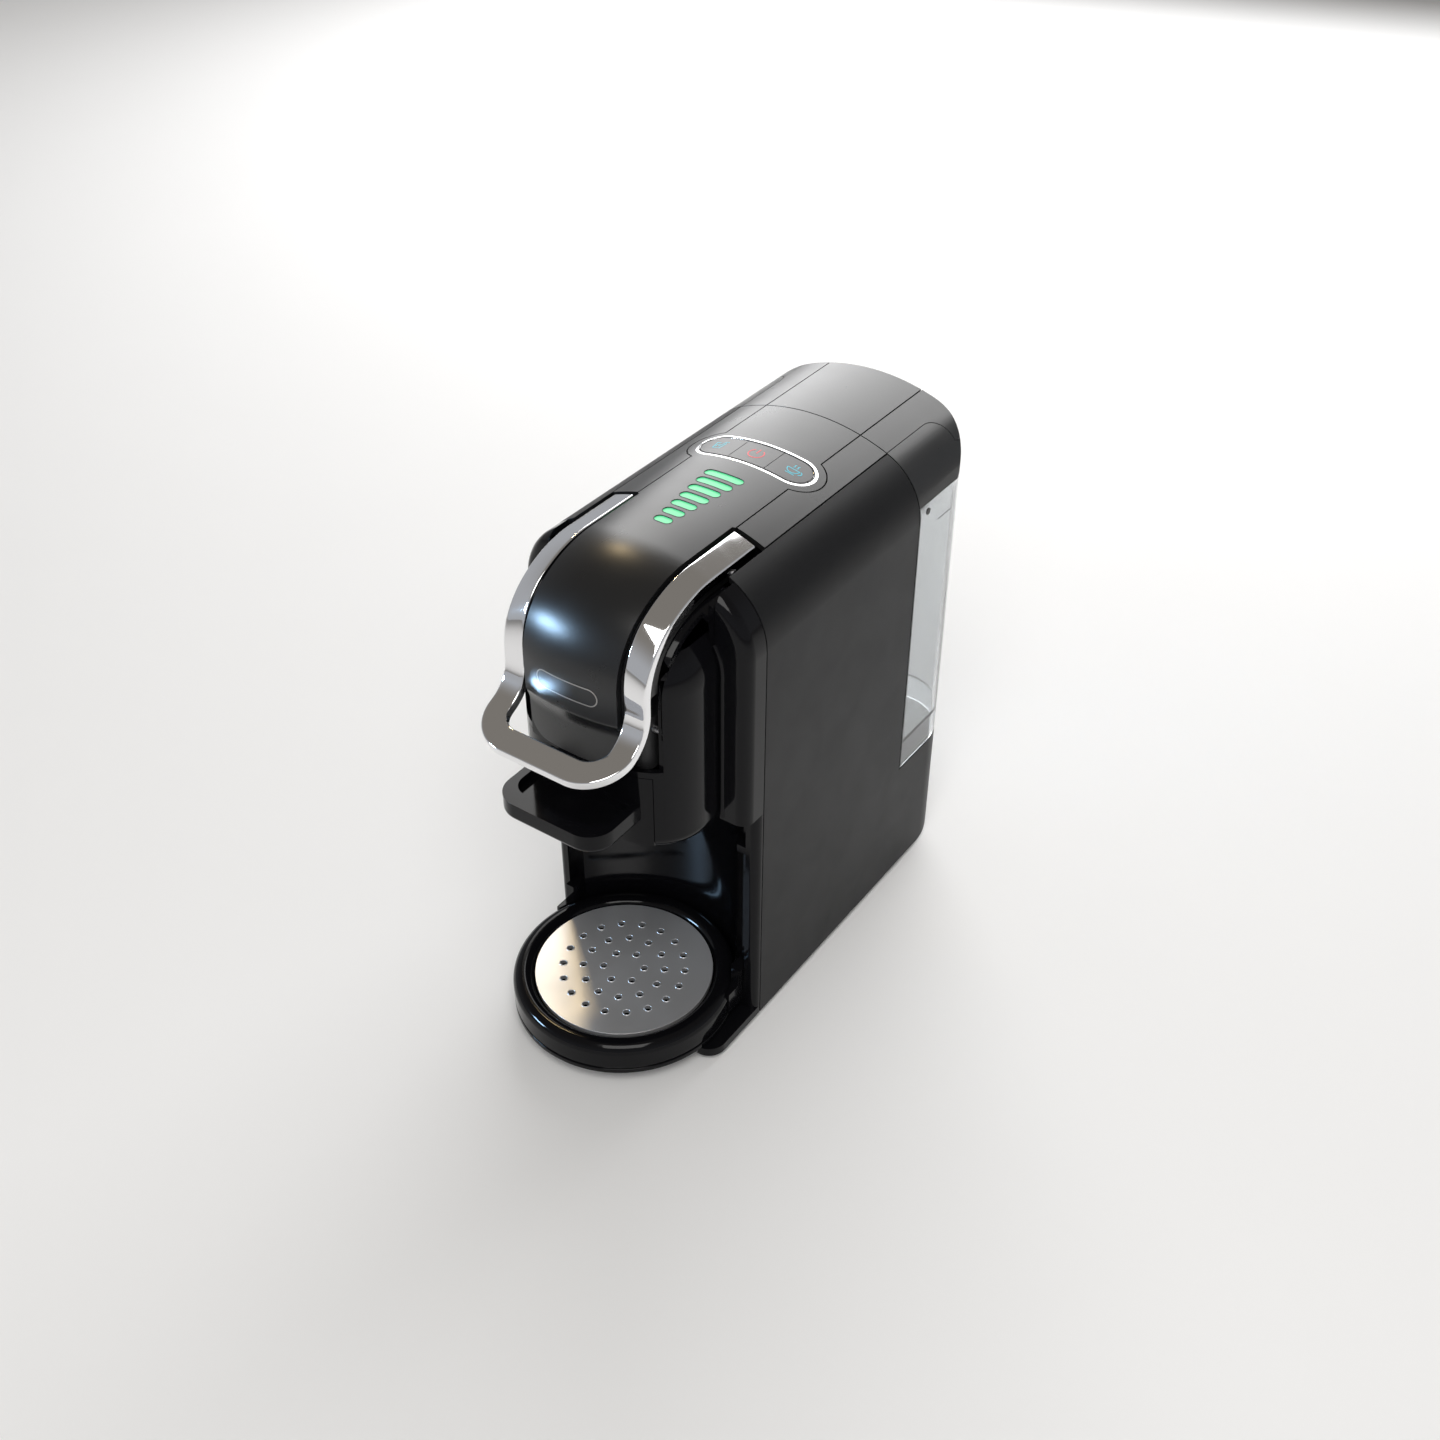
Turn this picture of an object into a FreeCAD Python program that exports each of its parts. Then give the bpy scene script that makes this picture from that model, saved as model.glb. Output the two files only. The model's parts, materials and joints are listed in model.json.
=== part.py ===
import FreeCAD, Part
import math
import os

V = FreeCAD.Vector
os.makedirs("parts", exist_ok=True)

# Pod coffee machine. Millimetres, +Z up, the front looks along -Y, origin under the middle of the body.

# Overall size
BODY_WIDTH = 117.0
BODY_DEPTH = 260.0
BODY_HEIGHT = 250.0

# Walls, seams and fits
WALL = 2.5
SEAM = 0.6
FIT = 0.3
PIN_PLAY = 0.05
GLIDE = 0.5

# Cross-section of the body
CROWN_R = 100.0
STRIP_HALF = 39.3
COVER_HALF = 25.2
REAR_CORNER_R = 26.0
REAR_FOOT_R = 30.0
FOOT_HEIGHT = 3.0

# Places along the depth
HEAD_REACH = 81.6
FRAME_DEPTH = 13.6
COLUMN_DEPTH = 4.6
TANK_DEPTH = 55.0

# Base
BASE_THICK = 4.0
REAR_COVER_HALF = 32.0
FRONT_FOOT_R = 3.0
REAR_FOOT_PAD_R = 7.0
PRONG_LENGTH = 38.0
PRONG_TOP = 7.5
PRONG_CORNER_R = 9.0
FRONT_FOOT_INSET = 5.0
FRONT_FOOT_SETBACK = 14.4
REAR_FOOT_INSET = 18.5
REAR_FOOT_SETBACK = 14.0
SCREW_R = 1.5
SCREW_HEAD_R = 3.0
SCREW_HEAD_THICK = 2.0
SCREW_LENGTH = 12.0
SCREW_INSET = 12.0
POST_R = 4.5
GLAND_R = 7.0
CORD_BORE_R = 3.6
GLAND_Z = 47.0
GLAND_LENGTH = 11.0

# Brew head
HEAD_HALF = 44.5
HEAD_DROP = 125.0
HEAD_TOP_DROP = 22.0
HEAD_ARCH_R = 24.0
HEAD_CORNER_R = 26.0
HEAD_SETBACK = 8.5
HEAD_EDGE_R = 7.0
HEAD_FLOOR = 3.0
HEAD_TAIL = 3.0
FRAME_EDGE_R = 6.0
LEDGE_RISE = 3.0
PILLAR_EDGE_R = 4.0
PILLAR_TAIL = 5.4
SPOUT_R = 7.0
SPOUT_BORE_R = 4.5
SPOUT_DROP = 6.0

# Handle and the cover that shares its sweep
BAR_REACH = 24.5
BAR_WIDTH = 11.3
SWEEP_TOP_R = 63.0
SWEEP_TOP_TURN = 30.0
SWEEP_FRONT_R = 38.0
FLARE_R = 16.0
BAR_DROP = 66.7
TWIST = 8.0
ARM_IN = 25.6
ARM_OUT = 36.2
ARM_TAIL = 23.4
CHROME_THICK = 4.5
LEVER_THICK = 4.0
LEVER_INSET = 1.4
LEVER_DROP = 42.0
LOOP_OUTER_R = 20.0
LOOP_INNER_R = 9.0
PIVOT_SETBACK = 12.0
PIVOT_DROP = 15.0
PIVOT_R = 2.0
PIVOT_BOSS_R = 3.6
CHANNEL_OUT = 39.6
CHANNEL_WALL = 2.4
CHANNEL_DEPTH = 10.0
CHANNEL_RIM = 4.5
CHANNEL_DROP = 82.0
POCKET_DEPTH = 29.0
POCKET_FRONT = 7.0
POCKET_REAR = 5.5
STRIP_GAP = 3.0
COVER_DROP = 80.0

# Capsule drawer and injector
DRAWER_HALF = 33.0
DRAWER_HEIGHT = 40.0
DRAWER_FLOOR = 5.0
DRAWER_CLEAR = 9.2
TONGUE_HALF = 28.0
TONGUE_RISE = 25.0
TONGUE_THICK = 9.0
TONGUE_LIP = 4.8
TONGUE_CORNER_R = 12.0
TONGUE_DISH = 4.0
CUP_BORE_R = 23.0
CUP_WALL = 2.0
CUP_RIM = 3.0
CUP_RIM_THICK = 2.0
CUP_RISE = 27.0
CUP_OUTLET_R = 3.5
CARRIAGE_HALF = 30.0
CARRIAGE_DEPTH = 50.0
CARRIAGE_RISE = 41.0
CARRIAGE_HEIGHT = 26.0
PLATE_R = 21.0
PLATE_THICK = 5.0
SEAL_R = 24.0
SEAL_THICK = 2.5
NEEDLE_R = 1.5
NEEDLE_PITCH_R = 9.0
NEEDLE_COUNT = 5
SLOT_WIDTH = 5.0
SLOT_RISE = 58.0
SLOT_LENGTH = 30.0
GUIDE_SETBACK = 11.0
GUIDE_PIN_R = 2.0
SLOT_SKIN = 1.0

# Drip tray
TRAY_R = 52.7
TRAY_TOP = 25.0
TRAY_BOTTOM = 1.5
RING_BOTTOM = 8.5
RING_IN_R = 42.8
BOWL_BASE_R = 43.0
BOWL_WALL = 4.0
BOWL_FLOOR = 2.0
GRATE_THICK = 2.4
GRATE_DROP = 4.2
GRATE_HOLE_R = 1.8
NICHE_GAP = 0.9
HOOK_X = 49.0
HOOK_WIDTH = 5.6
HOOK_BOTTOM = 12.0
HOOK_TOP = 33.0
HOOK_REACH = 11.0
HOOK_THICK = 3.0
GROOVE_DEPTH = 6.0
GROOVE_BOTTOM = 24.0
GROOVE_DROP = 21.0
UPPER_GROOVE_DROP = 17.0

# Water tank
TANK_BOTTOM = 70.6
TANK_TOP_DROP = 30.4
TANK_WALL = 2.2
TANK_SKIRT = 16.0
SHELF_THICK = 3.0
LID_FLARE = 12.0
LID_FLARE_R = 10.0
LID_LINE_DEPTH = 0.8
DOCK_R = 11.0
DOCK_HEIGHT = 9.0
DOCK_BORE_R = 3.0
VALVE_R = 7.0
VALVE_FLANGE_R = 12.0
SEAL_RING_R = 9.0
FILL_MARGIN = 6.0

# Control panel
PILL_SETBACK = 77.7
PILL_HALF = 30.2
PILL_R = 10.4
RING_WIDTH = 2.0
EAR = 3.4
KEY_HALF = 9.4
KEY_STEM_X = 17.0
KEY_STEM_R = 2.0
KEY_TRAVEL = 0.8
LIGHT_COUNT = 7
LIGHT_SETBACK = 10.1
LIGHT_PITCH = 7.2
LIGHT_WIDTH = 5.0
LIGHT_FIRST = 8.6
LIGHT_GROWTH = 1.85
LIGHT_SUNK = 0.4
BOARD_DROP = 11.5
BOARD_THICK = 1.6
BOARD_HALF = 21.5
BOARD_SETBACK = 5.0
BOARD_REAR = 16.7
SWITCH_HEIGHT = 2.4
CARRIER_THICK = 1.8

# Water works inside the body
PUMP_X = -26.0
PUMP_SETBACK = 34.2
PUMP_COIL = 42.0
PUMP_COIL_HEIGHT = 46.0
PUMP_END_R = 9.0
PUMP_END = 22.0
PUMP_BOTTOM = 14.0
MOUNT_R = 14.0
MOUNT_THICK = 7.0
MOUNT_PLATE = 3.0
BLOCK_X = 22.0
BLOCK_SETBACK = 42.2
BLOCK_R = 25.0
BLOCK_BOTTOM = 96.0
BLOCK_RISE = 45.0
BLOCK_FIN = 3.0
BLOCK_FIN_COUNT = 7
BLOCK_BOSS = 4.0
BLOCK_BOSS_R = 4.0
BLOCK_OUTLET_DROP = 14.0
METER_X = 0.0
METER_R = 11.0
METER_HEIGHT = 15.0
SPIGOT_LENGTH = 8.0
FUSE_LENGTH = 24.0
FUSE_SIZE = 6.0
FUSE_OFFSET = 10.0
PCB_HALF = 46.0
PCB_RISE = 24.0
PCB_DROP = 36.0
PCB_THICK = 1.6
STANDOFF = 5.0
STANDOFF_R = 3.0
HOSE_R = 4.0
HOSE_WALL = 1.0
TUBE_R = 2.5
HOSE_BEND = 14.0
TUBE_BEND = 9.0
BREW_BEND = 6.0

# Planes and centres that follow from the sizes
HALF_WIDTH = BODY_WIDTH / 2
FRONT_Y = -BODY_DEPTH / 2
REAR_Y = BODY_DEPTH / 2
SEAM_Y = FRONT_Y + HEAD_REACH
FRAME_Y = SEAM_Y - FRAME_DEPTH
COLUMN_Y = SEAM_Y - COLUMN_DEPTH
TANK_Y = REAR_Y - TANK_DEPTH
BASE_TOP = FOOT_HEIGHT + BASE_THICK
TRAY_Y = FRONT_Y + TRAY_R
NICHE_R = TRAY_R + NICHE_GAP
SWEEP_Y = FRONT_Y + BAR_REACH
HEAD_Y = SWEEP_Y + HEAD_SETBACK
HEAD_TOP = BODY_HEIGHT - HEAD_TOP_DROP
HEAD_BOTTOM = BODY_HEIGHT - HEAD_DROP
LEDGE_Z = HEAD_BOTTOM + LEDGE_RISE
BAR_Z = BODY_HEIGHT - BAR_DROP
LEVER_END_Z = BODY_HEIGHT - LEVER_DROP
CHANNEL_END_Z = BODY_HEIGHT - CHANNEL_DROP
COVER_END_Z = BODY_HEIGHT - COVER_DROP
ARM_REAR_Y = SEAM_Y + ARM_TAIL
PIVOT_Y = ARM_REAR_Y - PIVOT_SETBACK
PIVOT_Z = BODY_HEIGHT - PIVOT_DROP
POCKET_FLOOR = BODY_HEIGHT - POCKET_DEPTH
POCKET_FRONT_Y = PIVOT_Y - POCKET_FRONT
POCKET_REAR_Y = ARM_REAR_Y + POCKET_REAR
STRIP_FRONT_Y = ARM_REAR_Y + STRIP_GAP
DRAWER_BOTTOM = HEAD_BOTTOM + HEAD_FLOOR
DRAWER_TOP = HEAD_BOTTOM + DRAWER_HEIGHT
TONGUE_TOP = HEAD_BOTTOM + TONGUE_RISE
CUP_TOP = HEAD_BOTTOM + CUP_RISE
CARRIAGE_BOTTOM = HEAD_BOTTOM + CARRIAGE_RISE
SLOT_BOTTOM = HEAD_BOTTOM + SLOT_RISE
SLOT_TOP = SLOT_BOTTOM + SLOT_LENGTH
GROOVE_TOP = HEAD_BOTTOM - GROOVE_DROP
UPPER_GROOVE_BOTTOM = HEAD_BOTTOM - UPPER_GROOVE_DROP
TANK_TOP = BODY_HEIGHT - TANK_TOP_DROP
CUP_Y = HEAD_Y + WALL + CUP_BORE_R + CUP_WALL + CUP_RIM + FIT
GUIDE_Y = HEAD_Y + GUIDE_SETBACK
CHASSIS_Y = TANK_Y - SEAM / 2 - WALL
BOARD_TOP = BODY_HEIGHT - BOARD_DROP
PILL_Y = SEAM_Y + PILL_SETBACK
LIGHT_FIRST_Y = SEAM_Y + LIGHT_SETBACK
BOARD_FRONT_Y = SEAM_Y + BOARD_SETBACK
BOARD_REAR_Y = PILL_Y + BOARD_REAR
PUMP_Y = CHASSIS_Y - PUMP_SETBACK
BLOCK_Y = CHASSIS_Y - BLOCK_SETBACK
OUTLET_Y = BLOCK_Y - BLOCK_R - BLOCK_BOSS
PCB_BOTTOM = BLOCK_BOTTOM + PCB_RISE
PCB_TOP = BODY_HEIGHT - PCB_DROP
SKIN_INNER = WALL + FIT
SWEEP_ROOM = 2 * SWEEP_FRONT_R
PRONG_FRONT_Y = SEAM_Y - PRONG_LENGTH
CROWN_SLOPE = math.asin(STRIP_HALF / CROWN_R)
SHOULDER_R = (HALF_WIDTH - STRIP_HALF) / (1 - math.sin(CROWN_SLOPE))
FAR = 400.0


def box(x0, x1, y0, y1, z0, z1):
    """Block between two corners."""
    return Part.makeBox(x1 - x0, y1 - y0, z1 - z0, V(x0, y0, z0))


def rod_x(radius, x0, x1, y, z):
    """Cylinder along X."""
    return Part.makeCylinder(radius, x1 - x0, V(x0, y, z), V(1, 0, 0))


def rod_y(radius, x, z, y0, y1):
    """Cylinder along Y."""
    return Part.makeCylinder(radius, y1 - y0, V(x, y0, z), V(0, 1, 0))


def rod_z(radius, x, y, z0, z1):
    """Cylinder along Z."""
    return Part.makeCylinder(radius, z1 - z0, V(x, y, z0))


def tube_z(outer, inner, x, y, z0, z1):
    """Hollow cylinder along Z."""
    return rod_z(outer, x, y, z0, z1).cut(rod_z(inner, x, y, z0, z1))


def face_of(edges):
    """Flat face inside a closed run of edges."""
    return Part.Face(Part.Wire(edges))


def line(a, b):
    """Straight edge."""
    return Part.LineSegment(a, b).toShape()


def arc(a, mid, b):
    """Round edge through three points."""
    return Part.Arc(a, mid, b).toShape()


def joined(shapes):
    """One solid from pieces that overlap or share faces."""
    return shapes[0].multiFuse(shapes[1:]).removeSplitter()


def mirrored(shape):
    """The same piece on the other side of the middle plane."""
    return shape.mirror(V(0, 0, 0), V(1, 0, 0))


def pair(shape):
    """A piece and its mirror image, as two solids of one node."""
    return Part.makeCompound([shape, mirrored(shape)])


def save(shape, node):
    """Write one node."""
    shape.exportStep("parts/" + node + ".step")


def crown_z(x, depth):
    """Height of the crown at x, a depth below the outer surface."""
    return BODY_HEIGHT - CROWN_R + math.sqrt((CROWN_R - depth) ** 2 - x * x)


def section_prism(inset, y0, y1, floor):
    """Body cross-section, drawn in by inset, from y0 to y1."""
    half = HALF_WIDTH - inset
    crown = CROWN_R - inset
    shoulder = SHOULDER_R - inset
    centre_x = HALF_WIDTH - SHOULDER_R
    centre_z = BODY_HEIGHT - CROWN_R + (CROWN_R - SHOULDER_R) * math.cos(CROWN_SLOPE)
    bend = (CROWN_SLOPE + math.pi / 2) / 2
    meet = V(crown * math.sin(CROWN_SLOPE), y0, BODY_HEIGHT - CROWN_R + crown * math.cos(CROWN_SLOPE))
    middle = V(centre_x + shoulder * math.sin(bend), y0, centre_z + shoulder * math.cos(bend))
    side = V(half, y0, centre_z)
    foot = V(half, y0, floor)
    right = [meet, middle, side, foot]
    left = [V(-p.x, p.y, p.z) for p in right]
    edges = [
        arc(left[0], V(0, y0, BODY_HEIGHT - inset), right[0]),
        arc(right[0], right[1], right[2]),
        line(right[2], right[3]),
        line(right[3], left[3]),
        line(left[3], left[2]),
        arc(left[2], left[1], left[0]),
    ]
    return face_of(edges).extrude(V(0, y1 - y0, 0))


def rounded_plan(half, y0, y1, radius, z0, z1):
    """Upright prism with its two corners at y1 rounded."""
    turn = 1 if y1 > y0 else -1
    bevel = radius * (1 - math.sqrt(0.5))
    edges = [
        line(V(-half, y0, z0), V(half, y0, z0)),
        line(V(half, y0, z0), V(half, y1 - turn * radius, z0)),
        arc(
            V(half, y1 - turn * radius, z0),
            V(half - bevel, y1 - turn * bevel, z0),
            V(half - radius, y1, z0),
        ),
        line(V(half - radius, y1, z0), V(-half + radius, y1, z0)),
        arc(
            V(-half + radius, y1, z0),
            V(-half + bevel, y1 - turn * bevel, z0),
            V(-half, y1 - turn * radius, z0),
        ),
        line(V(-half, y1 - turn * radius, z0), V(-half, y0, z0)),
    ]
    return face_of(edges).extrude(V(0, 0, z1 - z0))


def rear_foot_prism(inset, floor):
    """Side view of the body with its rounded rear foot."""
    reach = HALF_WIDTH + WALL
    centre_y = REAR_Y - REAR_FOOT_R
    centre_z = FOOT_HEIGHT + REAR_FOOT_R
    block = box(-reach, reach, SEAM_Y, REAR_Y - inset, floor, FAR)
    corner = box(-reach, reach, centre_y, REAR_Y + WALL, floor - WALL, centre_z)
    return block.cut(corner.cut(rod_x(REAR_FOOT_R - inset, -reach, reach, centre_y, centre_z)))


def envelope(inset, floor):
    """Body form behind the front seam, drawn in by inset, open below the given floor."""
    form = section_prism(inset, SEAM_Y, REAR_Y - inset, floor)
    plan = rounded_plan(HALF_WIDTH - inset, SEAM_Y, REAR_Y - inset, REAR_CORNER_R - inset, floor, FAR)
    return form.common(plan).common(rear_foot_prism(inset, floor))


def pill(half, radius, z0, z1):
    """Upright stadium around the control panel."""
    straight = half - radius
    ends = [rod_z(radius, side * straight, PILL_Y, z0, z1) for side in (-1, 1)]
    return joined([box(-straight, straight, PILL_Y - radius, PILL_Y + radius, z0, z1)] + ends)


def sweep_profile(x0, x1, depth0, depth1, y):
    """Strip of the crown between two sides and two depths, standing at y."""
    middle = (x0 + x1) / 2
    edges = [
        arc(
            V(x0, y, crown_z(x0, depth0)),
            V(middle, y, crown_z(middle, depth0)),
            V(x1, y, crown_z(x1, depth0)),
        ),
        line(V(x1, y, crown_z(x1, depth0)), V(x1, y, crown_z(x1, depth1))),
        arc(
            V(x1, y, crown_z(x1, depth1)),
            V(middle, y, crown_z(middle, depth1)),
            V(x0, y, crown_z(x0, depth1)),
        ),
        line(V(x0, y, crown_z(x0, depth1)), V(x0, y, crown_z(x0, depth0))),
    ]
    return face_of(edges)


def swept(x0, x1, depth0, depth1, y, end_z):
    """Strip of the crown carried forward from y, over the brow and down to end_z."""
    face = sweep_profile(x0, x1, depth0, depth1, y)
    top = math.radians(SWEEP_TOP_TURN)
    brow_y = SWEEP_Y + SWEEP_FRONT_R * (1 - math.sin(top)) + SWEEP_TOP_R * math.sin(top)
    top_z = BODY_HEIGHT - SWEEP_TOP_R
    front_y = brow_y - (SWEEP_TOP_R - SWEEP_FRONT_R) * math.sin(top)
    front_z = top_z + (SWEEP_TOP_R - SWEEP_FRONT_R) * math.cos(top)
    axis = V(1, 0, 0)
    pieces = [face.extrude(V(0, brow_y - y, 0))]
    face.translate(V(0, brow_y - y, 0))
    pieces.append(face.revolve(V(0, brow_y, top_z), axis, SWEEP_TOP_TURN))
    face.rotate(V(0, brow_y, top_z), axis, SWEEP_TOP_TURN)
    pieces.append(face.revolve(V(0, front_y, front_z), axis, 90 - SWEEP_TOP_TURN))
    face.rotate(V(0, front_y, front_z), axis, 90 - SWEEP_TOP_TURN)
    pieces.append(face.extrude(V(0, 0, end_z - front_z)))
    return joined(pieces)


def head_prism(inset, y0, y1, floor):
    """Arched brew head, drawn in by inset, with its rounded front corners."""
    half = HEAD_HALF - inset
    radius = HEAD_ARCH_R - inset
    spring = HEAD_TOP - HEAD_ARCH_R
    reach = radius * math.sqrt(0.5)
    inner = HEAD_HALF - HEAD_ARCH_R
    right = [V(inner, y0, spring + radius), V(inner + reach, y0, spring + reach), V(half, y0, spring)]
    left = [V(-p.x, p.y, p.z) for p in right]
    edges = [
        line(left[0], right[0]),
        arc(right[0], right[1], right[2]),
        line(right[2], V(half, y0, floor)),
        line(V(half, y0, floor), V(-half, y0, floor)),
        line(V(-half, y0, floor), left[2]),
        arc(left[2], left[1], left[0]),
    ]
    form = face_of(edges).extrude(V(0, y1 - y0, 0))
    return form.common(rounded_plan(half, y1, y0, HEAD_CORNER_R - inset, floor, FAR))


def edges_where(shape, test):
    """Edges whose every vertex passes a test."""
    return [e for e in shape.Edges if all(test(v.Point) for v in e.Vertexes)]


def near(a, b):
    """Equal within modelling precision."""
    return abs(a - b) < 1e-4


def upright_edges(block):
    """The four upright edges of a block."""
    ends = [(e, e.Vertexes[0].Point, e.Vertexes[1].Point) for e in block.Edges]
    return [e for e, a, b in ends if near(a.x, b.x) and near(a.y, b.y)]


def bent_tube(points, radius, bend):
    """Round tube along straight runs joined by tangent arcs."""
    edges = []
    start = points[0]
    for before, corner, after in zip(points, points[1:], points[2:]):
        into = (corner - before).normalize()
        out = (after - corner).normalize()
        angle = into.getAngle(out)
        trim = bend * math.tan(angle / 2)
        a = corner - into * trim
        b = corner + out * trim
        inward = (out - into).normalize()
        mid = corner + inward * (bend / math.cos(angle / 2) - bend)
        edges.append(line(start, a))
        edges.append(arc(a, mid, b))
        start = b
    edges.append(line(start, points[-1]))
    path = Part.Wire(edges)
    first = (points[1] - points[0]).normalize()
    ring = Part.Wire(Part.makeCircle(radius, points[0], first))
    return path.makePipeShell([ring], True, False)


def hollow_tube(points, radius, wall, bend):
    """Hose with a bore."""
    return bent_tube(points, radius, bend).cut(bent_tube(points, radius - wall, bend))


# Base, feet and screws


FOOT_PLACES = {
    "front": (HALF_WIDTH - FRONT_FOOT_INSET, PRONG_FRONT_Y + FRONT_FOOT_SETBACK, FRONT_FOOT_R),
    "rear": (HALF_WIDTH - REAR_FOOT_INSET, REAR_Y - REAR_FOOT_R - REAR_FOOT_SETBACK, REAR_FOOT_PAD_R),
}
BASE_FRONT_Y = TRAY_Y + NICHE_R + WALL + FIT
SCREW_PLACES = [
    (HALF_WIDTH - SCREW_INSET, BASE_FRONT_Y + SCREW_INSET),
    (HALF_WIDTH - SCREW_INSET, CHASSIS_Y - SCREW_INSET),
]


def make_base_plate():
    """Bottom plate inside the side panels, with stepped screw holes."""
    half = HALF_WIDTH - SKIN_INNER
    plate = box(-half, half, BASE_FRONT_Y, REAR_Y - REAR_FOOT_R - FIT, FOOT_HEIGHT, BASE_TOP)
    for x, y in SCREW_PLACES:
        for side in (-1, 1):
            plate = plate.cut(rod_z(SCREW_R + FIT, side * x, y, FOOT_HEIGHT, BASE_TOP))
            sink = FOOT_HEIGHT + SCREW_HEAD_THICK
            plate = plate.cut(rod_z(SCREW_HEAD_R + FIT, side * x, y, FOOT_HEIGHT, sink))
    return plate


def make_rubber_feet():
    """Four feet under the prongs and the base plate."""
    feet = []
    for x, y, radius in FOOT_PLACES.values():
        for side in (-1, 1):
            feet.append(rod_z(radius, side * x, y, 0, FOOT_HEIGHT))
    return Part.makeCompound(feet)


def make_base_screws():
    """Four screws up through the base plate into the chassis posts."""
    screws = []
    for x, y in SCREW_PLACES:
        for side in (-1, 1):
            head = rod_z(SCREW_HEAD_R, side * x, y, FOOT_HEIGHT, FOOT_HEIGHT + SCREW_HEAD_THICK)
            shank = rod_z(SCREW_R, side * x, y, FOOT_HEIGHT, FOOT_HEIGHT + SCREW_LENGTH)
            screws.append(joined([head, shank]))
    return Part.makeCompound(screws)


# Outer skin


def make_skin():
    """Whole outer wall behind the front seam, before it is parted into panels."""
    return envelope(0, FOOT_HEIGHT).cut(envelope(WALL, FOOT_HEIGHT - WALL))


def make_side_panel(skin):
    """Right side panel with its shoulder, wrapping the rear corner below the tank."""
    gap = SEAM / 2
    upper = box(STRIP_HALF + gap, FAR, SEAM_Y + gap, TANK_Y - gap, FOOT_HEIGHT, FAR)
    lower = box(REAR_COVER_HALF + gap, FAR, TANK_Y - SEAM, FAR, FOOT_HEIGHT, TANK_BOTTOM - SEAM)
    return skin.common(joined([upper, lower]))


def make_rear_cover(skin):
    """Lower rear cover between the side panels, with the hole for the cord gland."""
    half = REAR_COVER_HALF - SEAM / 2
    zone = box(-half, half, REAR_Y - REAR_FOOT_R, FAR, FOOT_HEIGHT, TANK_BOTTOM - SEAM)
    return skin.common(zone).cut(rod_y(GLAND_R, 0, GLAND_Z, TANK_Y, FAR))


def make_cord_gland():
    """Bushing that holds the mains lead in the rear cover."""
    body = rod_y(GLAND_R, 0, GLAND_Z, REAR_Y - GLAND_LENGTH, REAR_Y)
    flange_end = REAR_Y - WALL
    flange = rod_y(GLAND_R + 2 * WALL, 0, GLAND_Z, flange_end - WALL, flange_end)
    return joined([body, flange]).cut(rod_y(CORD_BORE_R, 0, GLAND_Z, TANK_Y, FAR))


def make_top_strip(skin):
    """Right top strip between the cover and the side panel, behind the handle arm."""
    gap = SEAM / 2
    rear = TANK_Y - gap
    zone = box(COVER_HALF + gap, STRIP_HALF - gap, STRIP_FRONT_Y, rear, HEAD_TOP, FAR)
    return skin.common(zone).cut(pill(PILL_HALF + EAR + SEAM, PILL_R + EAR + SEAM, HEAD_TOP, FAR))


# Front frame with the niche for the tray


def groove(z0, z1):
    """Right hook groove in the face of the pillar."""
    half = HOOK_WIDTH / 2 + GLIDE
    return box(HOOK_X - half, HOOK_X + half, COLUMN_Y - 1, COLUMN_Y + GROOVE_DEPTH, z0, z1)


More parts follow.
